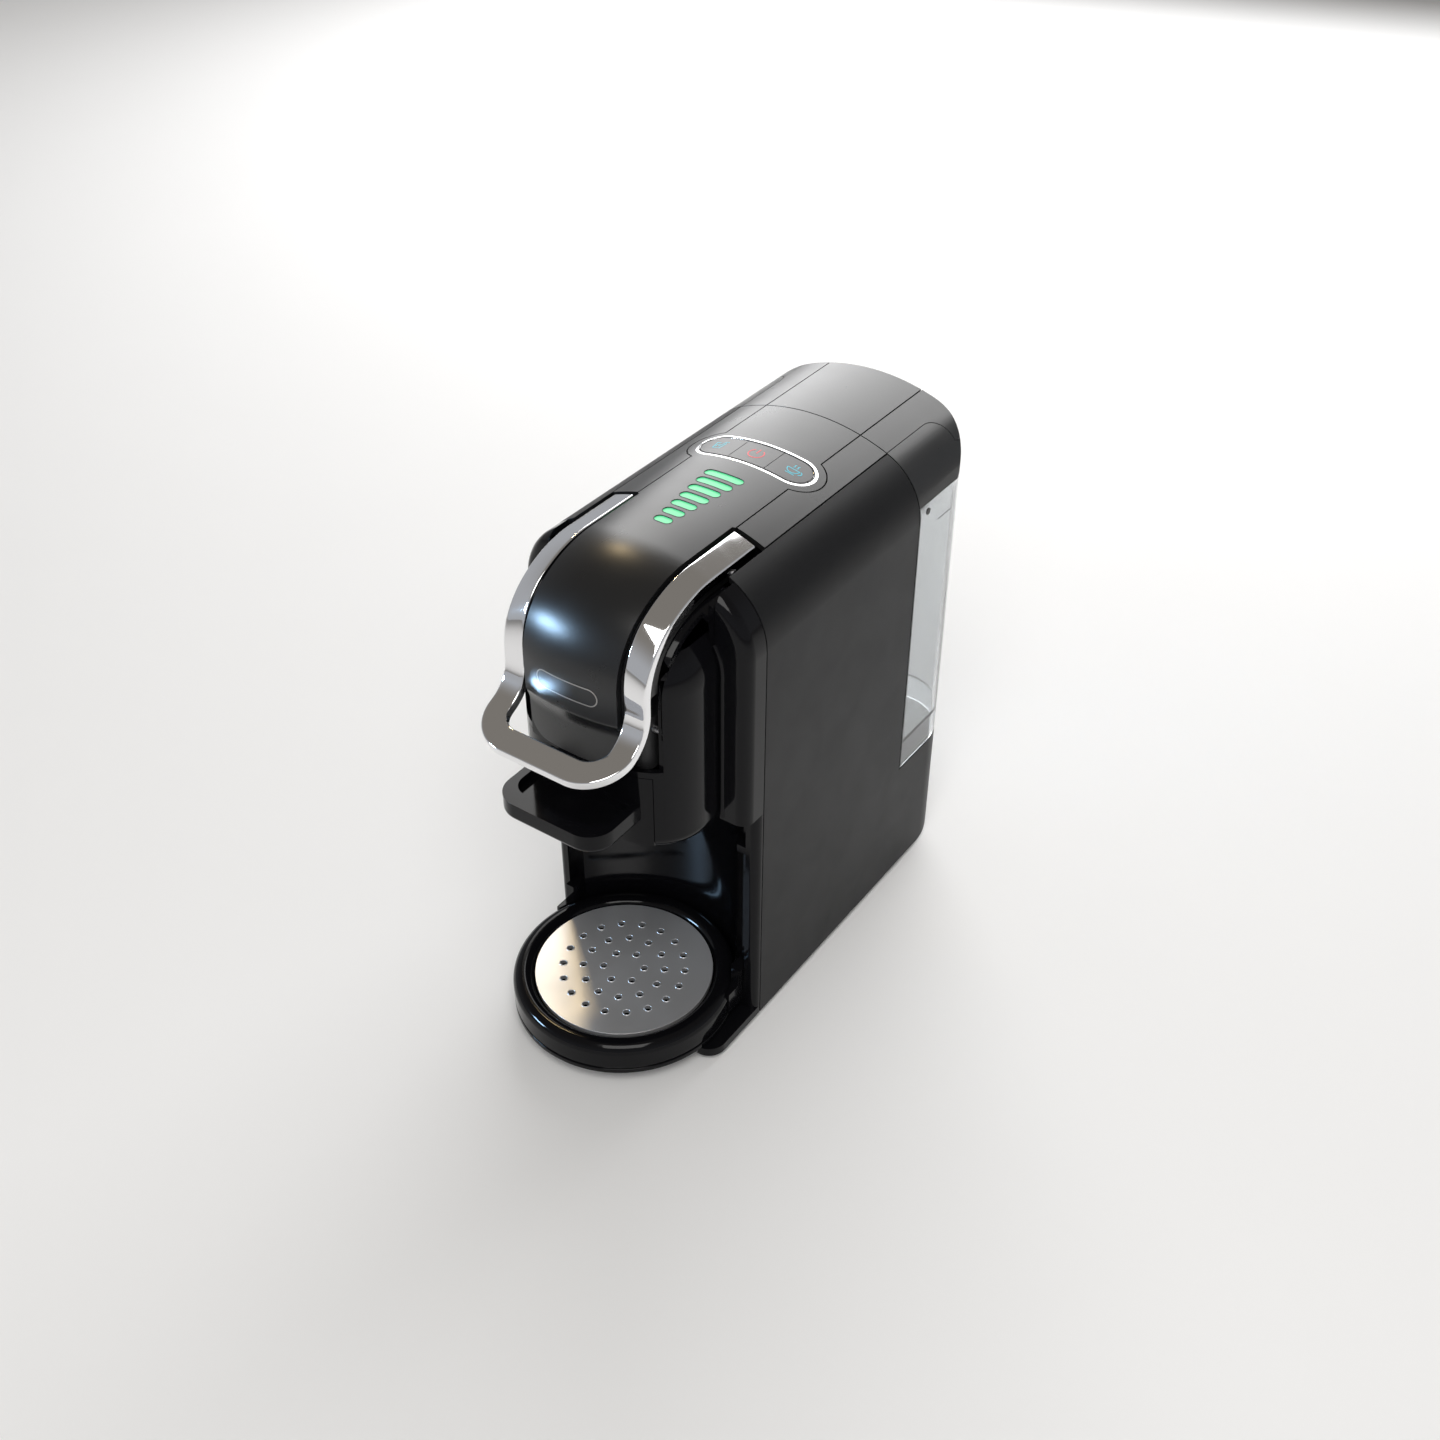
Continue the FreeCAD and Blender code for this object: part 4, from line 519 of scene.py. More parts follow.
class PathTrim:
    """Round bead along paths, or a round lip on every point, made with geometry nodes."""

    bead_sides = 8
    ring_sides = 20

    def __init__(self, name: str, rings: bool) -> None:
        """Build the node tree.

        Args:
            name: Name of the tree.
            rings: Whether a ring goes on every point, in place of a bead along the edges.
        """
        self.tree = bpy.data.node_groups.new(name, "GeometryNodeTree")
        sockets = self.tree.interface
        sockets.new_socket("Geometry", in_out="INPUT", socket_type="NodeSocketGeometry")
        kinds = {"Bead Radius": "Float", "Ring Radius": "Float", "Finish": "Material"}
        self.inputs = {
            label: sockets.new_socket(label, in_out="INPUT", socket_type="NodeSocket" + kind)
            for label, kind in kinds.items()
        }
        sockets.new_socket("Geometry", in_out="OUTPUT", socket_type="NodeSocketGeometry")
        bench = NodeBench(self.tree)
        enter = bench.add("NodeGroupInput")
        leave = bench.add("NodeGroupOutput")
        section = bench.add("GeometryNodeCurvePrimitiveCircle")
        section.inputs["Resolution"].default_value = self.bead_sides
        bench.wire(enter.outputs["Bead Radius"], section.inputs["Radius"])
        bead = bench.add("GeometryNodeCurveToMesh")
        bead.inputs["Fill Caps"].default_value = True
        bench.wire(section.outputs["Curve"], bead.inputs["Profile Curve"])
        made = bead.outputs["Mesh"]
        if rings:
            ring = bench.add("GeometryNodeCurvePrimitiveCircle")
            ring.inputs["Resolution"].default_value = self.ring_sides
            bench.wire(enter.outputs["Ring Radius"], ring.inputs["Radius"])
            bench.wire(ring.outputs["Curve"], bead.inputs["Curve"])
            spread = bench.add("GeometryNodeInstanceOnPoints")
            bench.wire(enter.outputs["Geometry"], spread.inputs["Points"])
            bench.wire(made, spread.inputs["Instance"])
            made = spread.outputs["Instances"]
        else:
            path = bench.add("GeometryNodeMeshToCurve")
            bench.wire(enter.outputs["Geometry"], path.inputs["Mesh"])
            bench.wire(path.outputs["Curve"], bead.inputs["Curve"])
        real = bench.add("GeometryNodeRealizeInstances")
        smooth = bench.add("GeometryNodeSetShadeSmooth")
        finish = bench.add("GeometryNodeSetMaterial")
        bench.wire(made, real.inputs["Geometry"])
        bench.wire(real.outputs["Geometry"], smooth.inputs["Geometry"])
        bench.wire(smooth.outputs["Geometry"], finish.inputs["Geometry"])
        bench.wire(enter.outputs["Finish"], finish.inputs["Material"])
        bench.wire(finish.outputs["Geometry"], leave.inputs["Geometry"])

    def make(
        self, name: str, paths: Grid, bead: float, ring: float, finish: Finish, closed: bool = False
    ) -> bpy.types.Object:
        """Make one trim piece as a plain mesh.

        Args:
            name: Name of the piece.
            paths: Runs of points, in metres.
            bead: Radius of the bead in millimetres.
            ring: Radius of each ring in millimetres.
            finish: Its finish.
            closed: Whether each path runs back to its start.

        Returns:
            The piece.
        """

        def build(bm: bmesh.types.BMesh) -> None:
            for run in paths:
                verts = [bm.verts.new(p) for p in run]
                for a, b in zip(verts, verts[1:] + (verts[:1] if closed else [])):
                    bm.edges.new((a, b))

        obj = object_of(name, build)
        nodes = obj.modifiers.new("trim", "NODES")
        nodes.node_group = self.tree
        values = {"Bead Radius": bead * MM, "Ring Radius": ring * MM, "Finish": FINISHES.of(finish)}
        for label, socket in self.inputs.items():
            nodes[socket.identifier] = values[label]
        settle(obj)
        return obj


BEADS = PathTrim("path_bead", False)
LIPS = PathTrim("hole_lip", True)


@dataclass
class Crown:
    """Rounded top of the body and the path that carries it over the brow, in millimetres."""

    height: float = 250.0
    radius: float = 100.0
    front_y: float = -130.0
    face_y: float = -105.5
    top_r: float = 63.0
    top_turn: float = 30.0
    brow_r: float = 38.0
    flare_r: float = 16.0
    flare_z: float = 202.5
    bar_tilt: float = 15.0
    arm_middle: float = 30.9

    def __post_init__(self) -> None:
        """Work out the centres of the arcs."""
        turn = math.radians(self.top_turn)
        self.turn = turn
        self.brow_y = self.face_y + self.brow_r * (1 - math.sin(turn)) + self.top_r * math.sin(turn)
        self.top_z = self.height - self.top_r
        self.front_centre_y = self.brow_y - (self.top_r - self.brow_r) * math.sin(turn)
        self.front_centre_z = self.top_z + (self.top_r - self.brow_r) * math.cos(turn)
        self.setback = self.drop(self.arm_middle, 0)
        self.flare_y = self.face_y + self.setback - self.flare_r
        self.tilt = math.radians(self.bar_tilt)
        self.bar_y = self.flare_y + self.flare_r * math.sin(self.tilt)
        self.bar_z = self.flare_z - self.flare_r * math.cos(self.tilt)

    def drop(self, x: float, depth: float) -> float:
        """Depth of a point below the ridge line.

        Args:
            x: Place across the machine.
            depth: Depth under the outer surface.

        Returns:
            The depth below the ridge.
        """
        return self.radius - math.sqrt((self.radius - depth) ** 2 - x * x)

    def level_share(self, along: Place) -> float:
        """Share by which the handle has straightened from the crown to its bar.

        Args:
            along: Stretch of the path and the place on it.

        Returns:
            The share, from 0 to 1.
        """
        stretch, value = along
        length = self.brow_r * (math.pi / 2 - self.turn)
        run = length + self.front_centre_z - self.flare_z
        if stretch is Stretch.BROW:
            share = self.brow_r * (value - self.turn) / run
        elif stretch is Stretch.FACE:
            share = (length + self.front_centre_z - value) / run
        else:
            return 0.0
        return share * share * (3 - 2 * share)

    def place(self, x: float, along: Place, depth: float, level: float = 0.0) -> Vector:
        """Point of the swept crown.

        Args:
            x: Place across the machine.
            along: Stretch of the path and the place on it.
            depth: Depth under the outer surface.
            level: Share by which the crown is straightened.

        Returns:
            The point, in metres.
        """
        stretch, value = along
        low = self.drop(x, depth)
        low += (self.setback + depth - low) * level
        if stretch is Stretch.TOP:
            y, z = value, self.height - low
        elif stretch is Stretch.UPPER:
            y = self.brow_y - (self.top_r - low) * math.sin(value)
            z = self.top_z + (self.top_r - low) * math.cos(value)
        elif stretch is Stretch.BROW:
            y = self.front_centre_y - (self.brow_r - low) * math.sin(value)
            z = self.front_centre_z + (self.brow_r - low) * math.cos(value)
        elif stretch is Stretch.FACE:
            y, z = self.face_y + low, value
        elif stretch is Stretch.FLARE:
            y = self.flare_y + (self.flare_r + depth) * math.cos(value)
            z = self.flare_z - (self.flare_r + depth) * math.sin(value)
        else:
            y = value + depth * math.sin(self.tilt)
            z = self.bar_z - (self.bar_y - value) * math.tan(self.tilt) - depth * math.cos(self.tilt)
        return Vector((x, y, z)) * MM

    def flare_at(self, y: float) -> Place:
        """Place on the flare or the bar under a point of the plan.

        Args:
            y: The point's place along the machine.

        Returns:
            Stretch of the path and the place on it.
        """
        if y < self.bar_y:
            return (Stretch.BAR, y)
        return (Stretch.FLARE, math.acos(min(1.0, (y - self.flare_y) / self.flare_r)))

    def run(self, rear_y: float, step: float) -> list[Place]:
        """Places from rear_y over the brow to the start of the face.

        Args:
            rear_y: Rear end.
            step: Rough distance between places.

        Returns:
            The places, from rear to front.
        """
        places: list[Place] = []
        count = max(1, round((rear_y - self.brow_y) / step))
        places += [(Stretch.TOP, rear_y + (self.brow_y - rear_y) * k / count) for k in range(count)]
        count = round(self.top_r * self.turn / step)
        places += [(Stretch.UPPER, self.turn * k / count) for k in range(count)]
        rest = math.pi / 2 - self.turn
        count = round(self.brow_r * rest / step)
        places += [(Stretch.BROW, self.turn + rest * k / count) for k in range(count)]
        return places


CROWN = Crown()


def strip_solid(name: str, top: Grid, bottom: Grid) -> bpy.types.Object:
    """Closed solid between an upper and a lower grid.

    Args:
        name: Name of the piece.
        top: Rows of the upper grid.
        bottom: Rows of the lower grid, of the same size.

    Returns:
        The new object.
    """

    def build(bm: bmesh.types.BMesh) -> None:
        upper = [[bm.verts.new(p) for p in row] for row in top]
        lower = [[bm.verts.new(p) for p in row] for row in bottom]
        rows = len(upper)
        cols = len(upper[0])
        for i in range(rows - 1):
            for j in range(cols - 1):
                bm.faces.new((upper[i][j], upper[i][j + 1], upper[i + 1][j + 1], upper[i + 1][j]))
                bm.faces.new((lower[i][j], lower[i + 1][j], lower[i + 1][j + 1], lower[i][j + 1]))
            bm.faces.new((upper[i][0], upper[i + 1][0], lower[i + 1][0], lower[i][0]))
            bm.faces.new((upper[i][-1], lower[i][-1], lower[i + 1][-1], upper[i + 1][-1]))
        for j in range(cols - 1):
            bm.faces.new((upper[0][j], lower[0][j], lower[0][j + 1], upper[0][j + 1]))
            bm.faces.new((upper[-1][j], upper[-1][j + 1], lower[-1][j + 1], lower[-1][j]))
        bmesh.ops.recalc_face_normals(bm, faces=bm.faces)

    return object_of(name, build)


@dataclass
class Handle:
    """Chrome loop over the brow and its lever arms, in millimetres."""

    arm_in: float = 25.6
    arm_out: float = 36.2
    rear_y: float = -25.0
    bar_width: float = 11.3
    outer_r: float = 20.0
    inner_r: float = 9.0
    thick: float = 4.5
    edge: float = 0.8
    step: float = 0.8
    across: int = 10
    face_count: int = 8
    flare_count: int = 24
    corner_count: int = 36
    bar_count: int = 14
    edge_count: int = 6

    def edge_line(self, x: float, corner_r: float, front_y: float) -> list[tuple[float, Place]]:
        """Right half of one edge of the loop, from the arm's end to the middle of the bar.

        Args:
            x: Distance of the arm's edge from the middle.
            corner_r: Radius of the loop's corner.
            front_y: Front of this edge along the bar.

        Returns:
            Pairs of x and place on the path.
        """
        line = [(x, place) for place in CROWN.run(self.rear_y, self.step)]
        top_z = CROWN.front_centre_z
        count = self.face_count
        line += [(x, (Stretch.FACE, top_z - (top_z - CROWN.flare_z) * k / count)) for k in range(count)]
        start_y = front_y + corner_r
        stop = CROWN.flare_at(start_y)[1]
        count = self.flare_count
        line += [(x, (Stretch.FLARE, stop * k / count)) for k in range(count)]
        for k in range(self.corner_count):
            turn = math.pi / 2 * k / self.corner_count
            px = x - corner_r + corner_r * math.cos(turn)
            py = start_y - corner_r * math.sin(turn)
            line.append((px, CROWN.flare_at(py)))
        count = self.bar_count
        line += [((x - corner_r) * (1 - k / count), CROWN.flare_at(front_y)) for k in range(count + 1)]
        return line

    def profile(self) -> list[Flat]:
        """Section of the band with rounded edges, as share of its width and depth."""
        width = self.arm_out - self.arm_in
        flat = width - 2 * self.edge
        corners = (
            (width - self.edge, self.edge, 90),
            (width - self.edge, self.thick - self.edge, 0),
            (self.edge, self.thick - self.edge, -90),
            (self.edge, self.edge, -180),
        )
        points = [(self.edge + flat * k / self.across, 0.0) for k in range(1, self.across)]
        for number, (u, depth, start) in enumerate(corners):
            for k in range(self.edge_count + 1):
                turn = math.radians(start - 90 * k / self.edge_count)
                points.append((u + self.edge * math.cos(turn), depth - self.edge * math.sin(turn)))
            if number == 1:
                shares = [1 - k / self.across for k in range(1, self.across)]
                points += [(self.edge + flat * share, self.thick) for share in shares]
        return [(u / width, depth) for u, depth in points]

    def build(self) -> None:
        """Build the loop and dress the arms."""
        outer = self.edge_line(self.arm_out, self.outer_r, CROWN.front_y)
        inner = self.edge_line(self.arm_in, self.inner_r, CROWN.front_y + self.bar_width)

        profile = self.profile()
        rows = []
        for (x1, at1), (x0, at0) in zip(outer, inner):
            row = []
            for share, depth in profile:
                x = x0 + (x1 - x0) * share
                if at0[0] is at1[0]:
                    at = (at0[0], at0[1] + (at1[1] - at0[1]) * share)
                else:
                    rear, front = CROWN.place(x0, at0, 0).y, CROWN.place(x1, at1, 0).y
                    at = CROWN.flare_at((rear + (front - rear) * share) / MM)
                row.append(CROWN.place(x, at, depth, CROWN.level_share(at)))
            rows.append(row)
        rows += [[Vector((-p.x, p.y, p.z)) for p in row] for row in rows[-2::-1]]

        def build(bm: bmesh.types.BMesh) -> None:
            rings = [[bm.verts.new(p) for p in row] for row in rows]
            for one, two in zip(rings, rings[1:]):
                for k in range(len(one)):
                    n = (k + 1) % len(one)
                    bm.faces.new((one[k], one[n], two[n], two[k])).smooth = True
            for ring in (rings[0], rings[-1]):
                for edge in bm.faces.new(ring).edges:
                    edge.smooth = False
            bmesh.ops.recalc_face_normals(bm, faces=bm.faces)

        loop = object_of("handle_chrome", build)
        put(loop, Finishes.chrome, "handle", ["handle_loop"])
        for node in ("right_lever_arm", "left_lever_arm"):
            dress(node, Finishes.satin_black, 0.3)
        coat("hinge_pins", Finishes.steel)


def stadium(half: float, radius: float, count: int = 12) -> list[Flat]:
    """Outline of a stadium round the origin, along x.

    Args:
        half: Half of its length.
        radius: Radius of its ends.
        count: Facets of each end.

    Returns:
        The outline.
    """
    points = []
    for side, start in ((1, -math.pi / 2), (-1, math.pi / 2)):
        for k in range(count + 1):
            turn = start + math.pi * k / count
            points.append((side * (half - radius) + radius * math.cos(turn), radius * math.sin(turn)))
    return points


def divided(outline: Sequence[Flat], count: int) -> list[Flat]:
    """Outline of a stadium with its two straight runs cut into short stretches.

    Args:
        outline: Outline from stadium().
        count: Stretches of each straight run.

    Returns:
        The finer outline.
    """
    points = []
    half = len(outline) // 2
    for k, (x, y) in enumerate(outline):
        points.append((x, y))
        if k % half == half - 1:
            end_x, end_y = outline[(k + 1) % len(outline)]
            for n in range(1, count):
                points.append((x + (end_x - x) * n / count, y + (end_y - y) * n / count))
    return points


def prism(name: str, outline: Sequence[Flat], z0: float, z1: float) -> bpy.types.Object:
    """Upright prism on an outline.

    Args:
        name: Name of the object.
        outline: Corners in millimetres.
        z0: Lower end.
        z1: Upper end.

    Returns:
        The closed prism.
    """

    def build(bm: bmesh.types.BMesh) -> None:
        low = [bm.verts.new(Vector((x, y, z0)) * MM) for x, y in outline]
        high = [bm.verts.new(Vector((x, y, z1)) * MM) for x, y in outline]
        bm.faces.new(low[::-1])
        bm.faces.new(high)
        for k in range(len(low)):
            n = (k + 1) % len(low)
            bm.faces.new((low[k], low[n], high[n], high[k]))
        bmesh.ops.recalc_face_normals(bm, faces=bm.faces)

    return object_of(name, build)


@dataclass
class FrontCover:
    """Centre strip from the tank seam over the brow to the foot of the face, in millimetres."""

    half: float = 24.9
    brow_half: float = 23.8
    brow_y: float = -23.0
    rear_y: float = 74.7
    thick: float = 2.5
    face_end_z: float = 170.0
    pill_y: float = 29.3
    pill_half: float = 30.2
    pill_r: float = 10.4
    ear: float = 3.4
    light_first_y: float = -38.3
    light_pitch: float = 7.2
    light_width: float = 5.0
    light_first: float = 8.6
    light_growth: float = 1.85
    light_count: int = 7
    # Radius of the dark bead round each lit bar, which paints the shade of its slot wall.
    slot_shade_r: float = 0.22
    crease_z: float = 193.5
    scoop_depth: float = 2.2
    scoop_run: float = 8.0
    foot_r: float = 9.0
    badge_z: float = 204.6
    badge_half: float = 15.6
    badge_r: float = 4.3
    badge_line: float = 0.5
    step: float = 1.5
    across: int = 40
    face_step: float = 1.2
    crease_step: float = 0.7
    crease_end_z: float = 180.0
    cut_z: Flat = (230.0, 260.0)

    def half_at(self, place: Place) -> float:
        """Half width of the strip, with its ears, the narrower brow and the rounded foot.

        Args:
            place: Stretch of the path and the place on it.

        Returns:
            The half width.
        """
        stretch, value = place
        if stretch is Stretch.TOP:
            ear_r = self.pill_r + self.ear
            off = value - self.pill_y
            if abs(off) < ear_r:
                ear = self.pill_half - self.pill_r + math.sqrt(ear_r * ear_r - off * off)
                return max(self.half, ear)
            return self.half if value > self.brow_y else self.brow_half
        if stretch is Stretch.FACE and value < self.face_end_z + self.foot_r:
            off = self.face_end_z + self.foot_r - value
            return self.brow_half - self.foot_r + math.sqrt(max(0.0, self.foot_r ** 2 - off * off))
        return self.brow_half

    def scoop(self, place: Place) -> float:
        """Depth of the scoop under the badge place.

        Args:
            place: Stretch of the path and the place on it.

        Returns:
            The depth, nought outside the scoop.
        """
        stretch, value = place
        if stretch is not Stretch.FACE or value > self.crease_z:
            return 0.0
        share = min(1.0, (self.crease_z - value) / self.scoop_run)
        return self.scoop_depth * math.sin(share * math.pi / 2)

    def places(self) -> list[Place]:
        """Places of the rows, closer together round the ears, the brow's start and the crease."""
        ear_r = self.pill_r + self.ear
        top = [p for p in CROWN.run(self.rear_y, self.step) if p[0] is Stretch.TOP]
        near = [(Stretch.TOP, self.pill_y + ear_r * math.sin(math.pi * k / 48)) for k in range(-24, 25)]
        near += [(Stretch.TOP, self.brow_y + 0.3), (Stretch.TOP, self.brow_y - 0.3)]
        top = [p for p in top if abs(p[1] - self.pill_y) > ear_r + 0.3 and abs(p[1] - self.brow_y) > 0.5]
        top = sorted(top + near, key=lambda p: -p[1])
        rest = [p for p in CROWN.run(self.rear_y, self.step) if p[0] is not Stretch.TOP]
        heights = []
        z = CROWN.front_centre_z
        while z > self.crease_z + 0.2:
            heights.append(z)
            z -= self.face_step
        count = int((self.crease_z - self.crease_end_z) / self.crease_step)
        heights += [self.crease_z - self.crease_step * k for k in range(count)]
        z = self.crease_end_z
        while z > self.face_end_z + self.foot_r:
            heights.append(z)
            z -= self.face_step
        heights += [self.face_end_z + self.foot_r * (1 - math.sin(math.pi * k / 32)) for k in range(17)]
        return top + rest + [(Stretch.FACE, z) for z in heights]

    def build(self) -> None:
        """Build the strip with its slots, the lights and the bare badge plate."""
        places = self.places()

        def rows(depth: float) -> list[list[Vector]]:
            made = []
            for place in places:
                half = self.half_at(place)
                row = []
                for k in range(self.across + 1):
                    x = half * (2 * k / self.across - 1)
                    row.append(CROWN.place(x, place, depth + self.scoop(place)))
                made.append(row)
            return made

        cover = strip_solid("front_cover_strip", rows(0.0), rows(self.thick))
        outline = [(x, y + self.pill_y) for x, y in stadium(self.pill_half, self.pill_r, 24)]
        cut_away(cover, prism("panel_hole", outline, *self.cut_z))
        for k in range(self.light_count):
            length = self.light_first + self.light_growth * k
            y = self.light_first_y + self.light_pitch * k
            outline = [(px, py + y) for px, py in stadium(length / 2, self.light_width / 2)]
            cut_away(cover, prism("light_slot", outline, *self.cut_z))
        soften(cover, 0.22, 45.0, 2)
        put(cover, Finishes.satin_black, "housing", ["front_cover"])
        dress("level_lights", Finishes.mint_light, 0.15)
        # Dark beads round the lit bars paint the shade of their slot walls.
        self.painted_slot_shade()
        self.badge()

    def painted_slot_shade(self) -> None:
        """Thin dark beads round the lit bars, painted shade of the slot walls round them."""
        paths = []
        for k in range(self.light_count):
            y = self.light_first_y + self.light_pitch * k
            half = (self.light_first + self.light_growth * k) / 2
            line = divided(stadium(half, self.light_width / 2), 8)
            paths.append([CROWN.place(px, (Stretch.TOP, py + y), 0.08) for px, py in line])
        slot_shade_beads = BEADS.make("painted_slot_shade", paths, self.slot_shade_r, 0.0, Finishes.black_and_painted_shade, True)
        put(slot_shade_beads, Finishes.black_and_painted_shade, "housing")

    def badge(self) -> None:
        """Bare stadium outline at the badge place on the face."""
        outer = divided(stadium(self.badge_half, self.badge_r, 16), 20)
        half, radius = self.badge_half - self.badge_line, self.badge_r - self.badge_line
        inner = divided(stadium(half, radius, 16), 20)

        def at(x: float, z: float, depth: float) -> Vector:
            over = z - CROWN.front_centre_z
            place = (Stretch.FACE, z) if over < 0 else (Stretch.BROW, math.pi / 2 - over / CROWN.brow_r)
            return CROWN.place(x, place, depth)

        def build(bm: bmesh.types.BMesh) -> None:
            rings = []
            for line, depth in ((outer, -0.12), (inner, -0.12), (inner, 0.2), (outer, 0.2)):
                rings.append([bm.verts.new(at(x, self.badge_z + z, depth)) for x, z in line])
            count = len(outer)
            for a, b in zip(rings, rings[1:] + rings[:1]):
                for k in range(count):
                    n = (k + 1) % count
                    bm.faces.new((a[k], a[n], b[n], b[k]))
            bmesh.ops.recalc_face_normals(bm, faces=bm.faces)

        put(object_of("badge_outline", build), Finishes.badge_line, "housing")


@dataclass
class ControlPanel:
    """Ring, keys and the signs on the keys, in millimetres."""

    panel_y: float = 29.3
    sign_x: float = 19.5
    line: float = 0.5
    lift: float = 0.05
    pill_half: float = 30.2
    pill_r: float = 10.4
    ring_width: float = 2.0
    # Radius of the dark bead that paints the shade along the ring's inner edge.
    edge_shade_r: float = 0.38

    def painted_ring_shade(self) -> None:
        """Dark bead along the inner edge of the ring, painted shade of that edge."""
        inset = self.ring_width - self.edge_shade_r
        line = divided(stadium(self.pill_half - inset, self.pill_r - inset, 24), 24)
        path = [CROWN.place(x, (Stretch.TOP, self.panel_y + y), 0.15) for x, y in line]
        ring_shade = BEADS.make("ring_edge_shade", [path], self.edge_shade_r, 0.0, Finishes.black_and_painted_shade, True)
        put(ring_shade, Finishes.black_and_painted_shade, "housing")

    def ribbon(self, bm: bmesh.types.BMesh, points: Sequence[Flat], x0: float) -> None:
        """Add one stroke of a sign.

        Args:
            bm: Mesh that it goes into.
            points: Line of the stroke round the sign's middle.
            x0: Middle of the sign.
        """
        half = self.line / 2
        sides = []
        for k, (x, y) in enumerate(points):
            ax, ay = points[max(0, k - 1)]
            bx, by = points[min(len(points) - 1, k + 1)]
            length = math.hypot(bx - ax, by - ay)
            nx, ny = -(by - ay) / length * half, (bx - ax) / length * half
            pair = []
            for sign in (-1, 1):
                px = x0 + x + sign * nx
                py = self.panel_y + y + sign * ny
                depths = (-self.lift, self.lift)
                pair.append([CROWN.place(px, (Stretch.TOP, py), depth) for depth in depths])
            sides.append(pair)
        verts = [[[bm.verts.new(p) for p in side] for side in pair] for pair in sides]
        for (a, b), (c, d) in zip(verts, verts[1:]):
            bm.faces.new((a[0], b[0], d[0], c[0]))
            bm.faces.new((a[1], c[1], d[1], b[1]))
            bm.faces.new((a[0], c[0], c[1], a[1]))
            bm.faces.new((b[0], b[1], d[1], d[0]))
        for a, b in (verts[0], verts[-1]):
            bm.faces.new((a[0], a[1], b[1], b[0]))

    def arc(self, x: float, y: float, radius: float, start: float, stop: float) -> list[Flat]:
        """Round stroke of a sign.

        Args:
            x: Its middle across.
            y: Its middle along.
            radius: Its radius.
            start: First angle in degrees.
            stop: Last angle in degrees.

        Returns:
            Points of the stroke.
        """
        turns = [math.radians(start + (stop - start) * k / 20) for k in range(21)]
        return [(x + radius * math.cos(t), y + radius * math.sin(t)) for t in turns]

    def sign(
        self, name: str, strokes: Sequence[Sequence[Flat]], x0: float, finish: Finish, body: str
    ) -> None:
        """Build one lit sign on its key.

        Args:
            name: Name of the piece.
            strokes: Lines of the sign.
            x0: Middle of the sign.
            finish: Its glow.
            body: Key that it rides on.
        """

        def build(bm: bmesh.types.BMesh) -> None:
            for stroke in strokes:
                self.ribbon(bm, stroke, x0)
            bmesh.ops.recalc_face_normals(bm, faces=bm.faces)

        put(object_of(name, build), finish, body)

    def build(self) -> None:
        """Dress the ring and the keys, and put the signs on."""
        dress("control_ring", Finishes.chrome, 0.7)
        # A dark bead paints the shade along the ring's inner edge.
        self.painted_ring_shade()
        for node in ("key_cold", "key_power", "key_hot"):
            dress(node, Finishes.key_grey, 0.12)
        power = [self.arc(0, 0, 3.6, 125, 415), [(0.0, 0.2), (0.0, 3.9)]]
        glass = [
            [(-2.5, 2.4), (-1.8, -2.8), (1.6, -2.8), (2.3, 2.4)],
            [(-2.5, 2.4), (-0.6, 2.4)],
            [(0.2, -1.2), (1.5, 3.6), (3.0, 3.6)],
            [(-1.2, -1.6), (-1.3, 0.4), (0.2, 0.4)],
        ]
        cup = [
            self.arc(-0.3, 0.6, 3.0, 180, 360),
            [(-3.3, 0.6), (2.7, 0.6)],
            self.arc(2.9, -0.5, 1.3, -80, 80),
            [(-2.4, -3.2), (2.0, -3.2)],
            [(-1.3, 1.6), (-0.8, 2.3), (-1.3, 3.2), (-0.8, 3.9)],
            [(0.4, 1.6), (0.9, 2.3), (0.4, 3.2), (0.9, 3.9)],
        ]
        self.sign("power_sign", power, 0.0, Finishes.red_sign, "power_key")
        self.sign("iced_glass_sign", glass, -self.sign_x, Finishes.cyan_sign, "cold_key")
        self.sign("hot_cup_sign", cup, self.sign_x, Finishes.cyan_sign, "hot_key")
        coat("panel_board", Finishes.circuit_board)


@dataclass
class Body:
    """Outer skin, front frame and base."""

    panel_edge: float = 0.45
    frame_edge: float = 0.5
    arch_half: float = 45.9
    arch_r: float = 25.4
    arch_spring_z: float = 204.0
    arch_foot_z: float = 129.5
    arch_turn: float = 33.0
    arch_y: float = -61.6
    arch_count: int = 24
    bead: float = 1.35

    def arch_beads(self) -> None:
        """Raised beads along the arched edge of the frame beside the head."""
        inner = self.arch_half - self.arch_r
        right = [Vector((self.arch_half, self.arch_y, self.arch_foot_z)) * MM]
        for k in range(self.arch_count + 1):
            turn = math.radians(self.arch_turn) * k / self.arch_count
            x = inner + self.arch_r * math.cos(turn)
            z = self.arch_spring_z + self.arch_r * math.sin(turn)
            right.append(Vector((x, self.arch_y, z)) * MM)
        left = [Vector((-p.x, p.y, p.z)) for p in right]
        beads = BEADS.make("arch_beads", [right, left], self.bead, 0.0, Finishes.gloss_black)
        put(beads, Finishes.gloss_black, "housing")

    def build(self) -> None:
        """Dress the outer pieces."""
        for node in ("right_side_panel", "left_side_panel", "rear_cover"):
            dress(node, Finishes.panel_grey, self.panel_edge)
        for node in ("right_top_strip", "left_top_strip"):
            dress(node, Finishes.satin_black, 0.35)
        dress("front_frame", Finishes.gloss_black, self.frame_edge)
        self.arch_beads()
        dress("base_plate", Finishes.inner_plastic, 0.4)
        dress("rubber_feet", Finishes.rubber, 0.8)
        dress("cord_gland", Finishes.rubber, 0.6)
        coat("base_screws", Finishes.steel)


